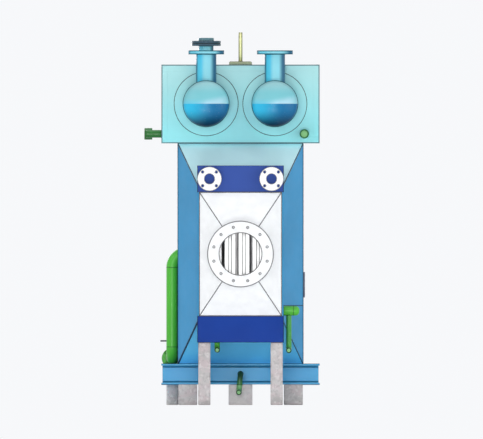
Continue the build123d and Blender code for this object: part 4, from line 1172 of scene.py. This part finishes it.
drain_weld = 0.0026
blow_radius = blow_outer / 2
mouth_radius = 0.0168
welds = bmesh.new()
ring(welds, (header_low.x, header_y, header_z), RIGHT, header_radius, 0.003)
ring(welds, (cap_low.x, header_y, header_z), RIGHT, header_radius - 0.0004, 0.0022)
ring(welds, (drain_x, header_y, lower_low.z), UP, drain_outer / 2, drain_weld)
web_y = front_low.y + 0.076
ring(welds, (0, web_y, blow_z), REAR, blow_radius, drain_weld)
centre = Vector((drop_x, header_y, header_z))
saddle_bead(welds, centre, drain_outer / 2, header_radius, 1, -1, drain_weld, 48)
joint_z = 0.158
joint_x = blow_end_x * (blow_z - joint_z) / (blow_z - blow_end_z)
downward = (blow_end_x, 0, blow_end_z - blow_z)
ring(welds, (joint_x, blow_y, joint_z), downward, blow_radius, 0.003, 48)
mouths = ((drop_x, drop_low.y, drop_z), (drain_x, drain_low.y, drain_z), (blow_end_x, blow_low.y, blow_end_z))
for x, y, z in mouths:
    ring(welds, (x, y + 0.005, z), REAR, mouth_radius, 0.0047, 48)
dress(plug_pale, "pipe_plugs")
fit("drain_welds", welds, weld_green, "pipe_green")

# Picture. A pale floor and soft studio light. The view is straight from the
# front with no perspective, at the picture's scale of 7.8 mm a pixel.


def seen_rays(nodes):
    """1 for what the camera sees, straight or by way of gloss or glass."""
    kinds = ("Camera", "Glossy", "Transmission")
    seen, gloss, glass = [nodes.node("LightPath", {}, {}, f"Is {kind} Ray") for kind in kinds]
    return nodes.maths("MAXIMUM", nodes.maths("MAXIMUM", seen, gloss), glass)


ground = Finish("pale floor", (0.86, 0.865, 0.87))
ground.coat(ground.noise(0.8, 3), (0.9, 0.9, 0.9))
ground.grain(0.8, ground.noise(90, 3), 0.0002)
lit = Wire(ground, ground.shader.outputs["BSDF"])
glow = ground.node("Emission", {}, {"Color": (0.9, 0.91, 0.93, 1)})
evened = ground.node("MixShader", {}, {0: seen_rays(ground) * 0.5, 1: lit, 2: glow})
ground.plug(ground.tree.nodes["Material Output"].inputs["Surface"], evened)
floor_shape = bmesh.new()
bmesh.ops.create_grid(floor_shape, x_segments=2, y_segments=2, size=14)
studio_floor = finished("studio_floor", floor_shape, ground)
studio_floor.location.z = -0.0005

world = bpy.data.worlds.new("studio")
bpy.context.scene.world = world
world.use_nodes = True
studio = Nodes(world.node_tree)
background = studio.tree.nodes["Background"]
studio.plug(background.inputs["Color"], (0.92, 0.95, 1.0, 1.0))
studio.plug(background.inputs["Strength"], 0.56)
sky = Wire(studio, background.outputs["Background"])
backdrop = studio.node("Background", {}, {"Color": (0.93, 0.94, 0.96, 1.0), "Strength": 1.0})
either = studio.node("MixShader", {}, {0: seen_rays(studio), 1: sky, 2: backdrop})
studio.plug(studio.tree.nodes["World Output"].inputs["Surface"], either)

for name, place, target, size, watts, colour in (
    ("front lamp", (-0.3, -9.0, 2.1), (0, -0.6, 1.25), (1.8, 1.8), 108, (1.0, 0.995, 0.985)),
    ("key lamp", (-5.0, -5.0, 4.6), (0, -0.4, 1.4), (2.4, 2.4), 58, (1.0, 0.99, 0.97)),
    ("fill lamp", (5.5, -5.5, 2.2), (0, -0.4, 1.3), (3.5, 3.5), 90, (0.97, 0.99, 1.0)),
    ("low lamp", (-0.5, -6.5, 0.3), (-0.1, -0.4, 0.3), (3.2, 0.5), 66, (1.0, 1.0, 1.0)),
    ("top lamp", (0.4, -1.5, 6.4), (0, -0.4, 2.0), (3.2, 3.2), 12, (1.0, 1.0, 1.0)),
    ("back lamp", (-2.5, 6.5, 3.6), (0, 0.3, 1.4), (3.2, 3.2), 190, (1.0, 1.0, 1.0)),
):
    lamp = bpy.data.lights.new(name, "AREA")
    lamp.shape = "RECTANGLE"
    lamp.size, lamp.size_y = size
    lamp.energy = watts
    lamp.color = colour
    put(name, lamp, place, (Vector(target) - Vector(place)).to_track_quat("-Z", "Y").to_euler())

level_ahead = (radians(90), 0, 0)
duct_beam = bpy.data.lights.new("duct lamp", "SPOT")
duct_beam.energy = 2200
duct_beam.spot_size = radians(2.5)
duct_beam.spot_blend = 0.1
duct_beam.shadow_soft_size = 0.03
put("duct lamp", duct_beam, (0, -9.0, gas_z), level_ahead)

pixel = 0.0078
view = bpy.data.cameras.new("front view")
view.type = "ORTHO"
view.ortho_scale = 483 * pixel
view.clip_end = 100
bpy.context.scene.camera = put("front view", view, (pixel, -12.0, 1.4469), level_ahead)
bpy.context.scene.view_settings.view_transform = "Standard"
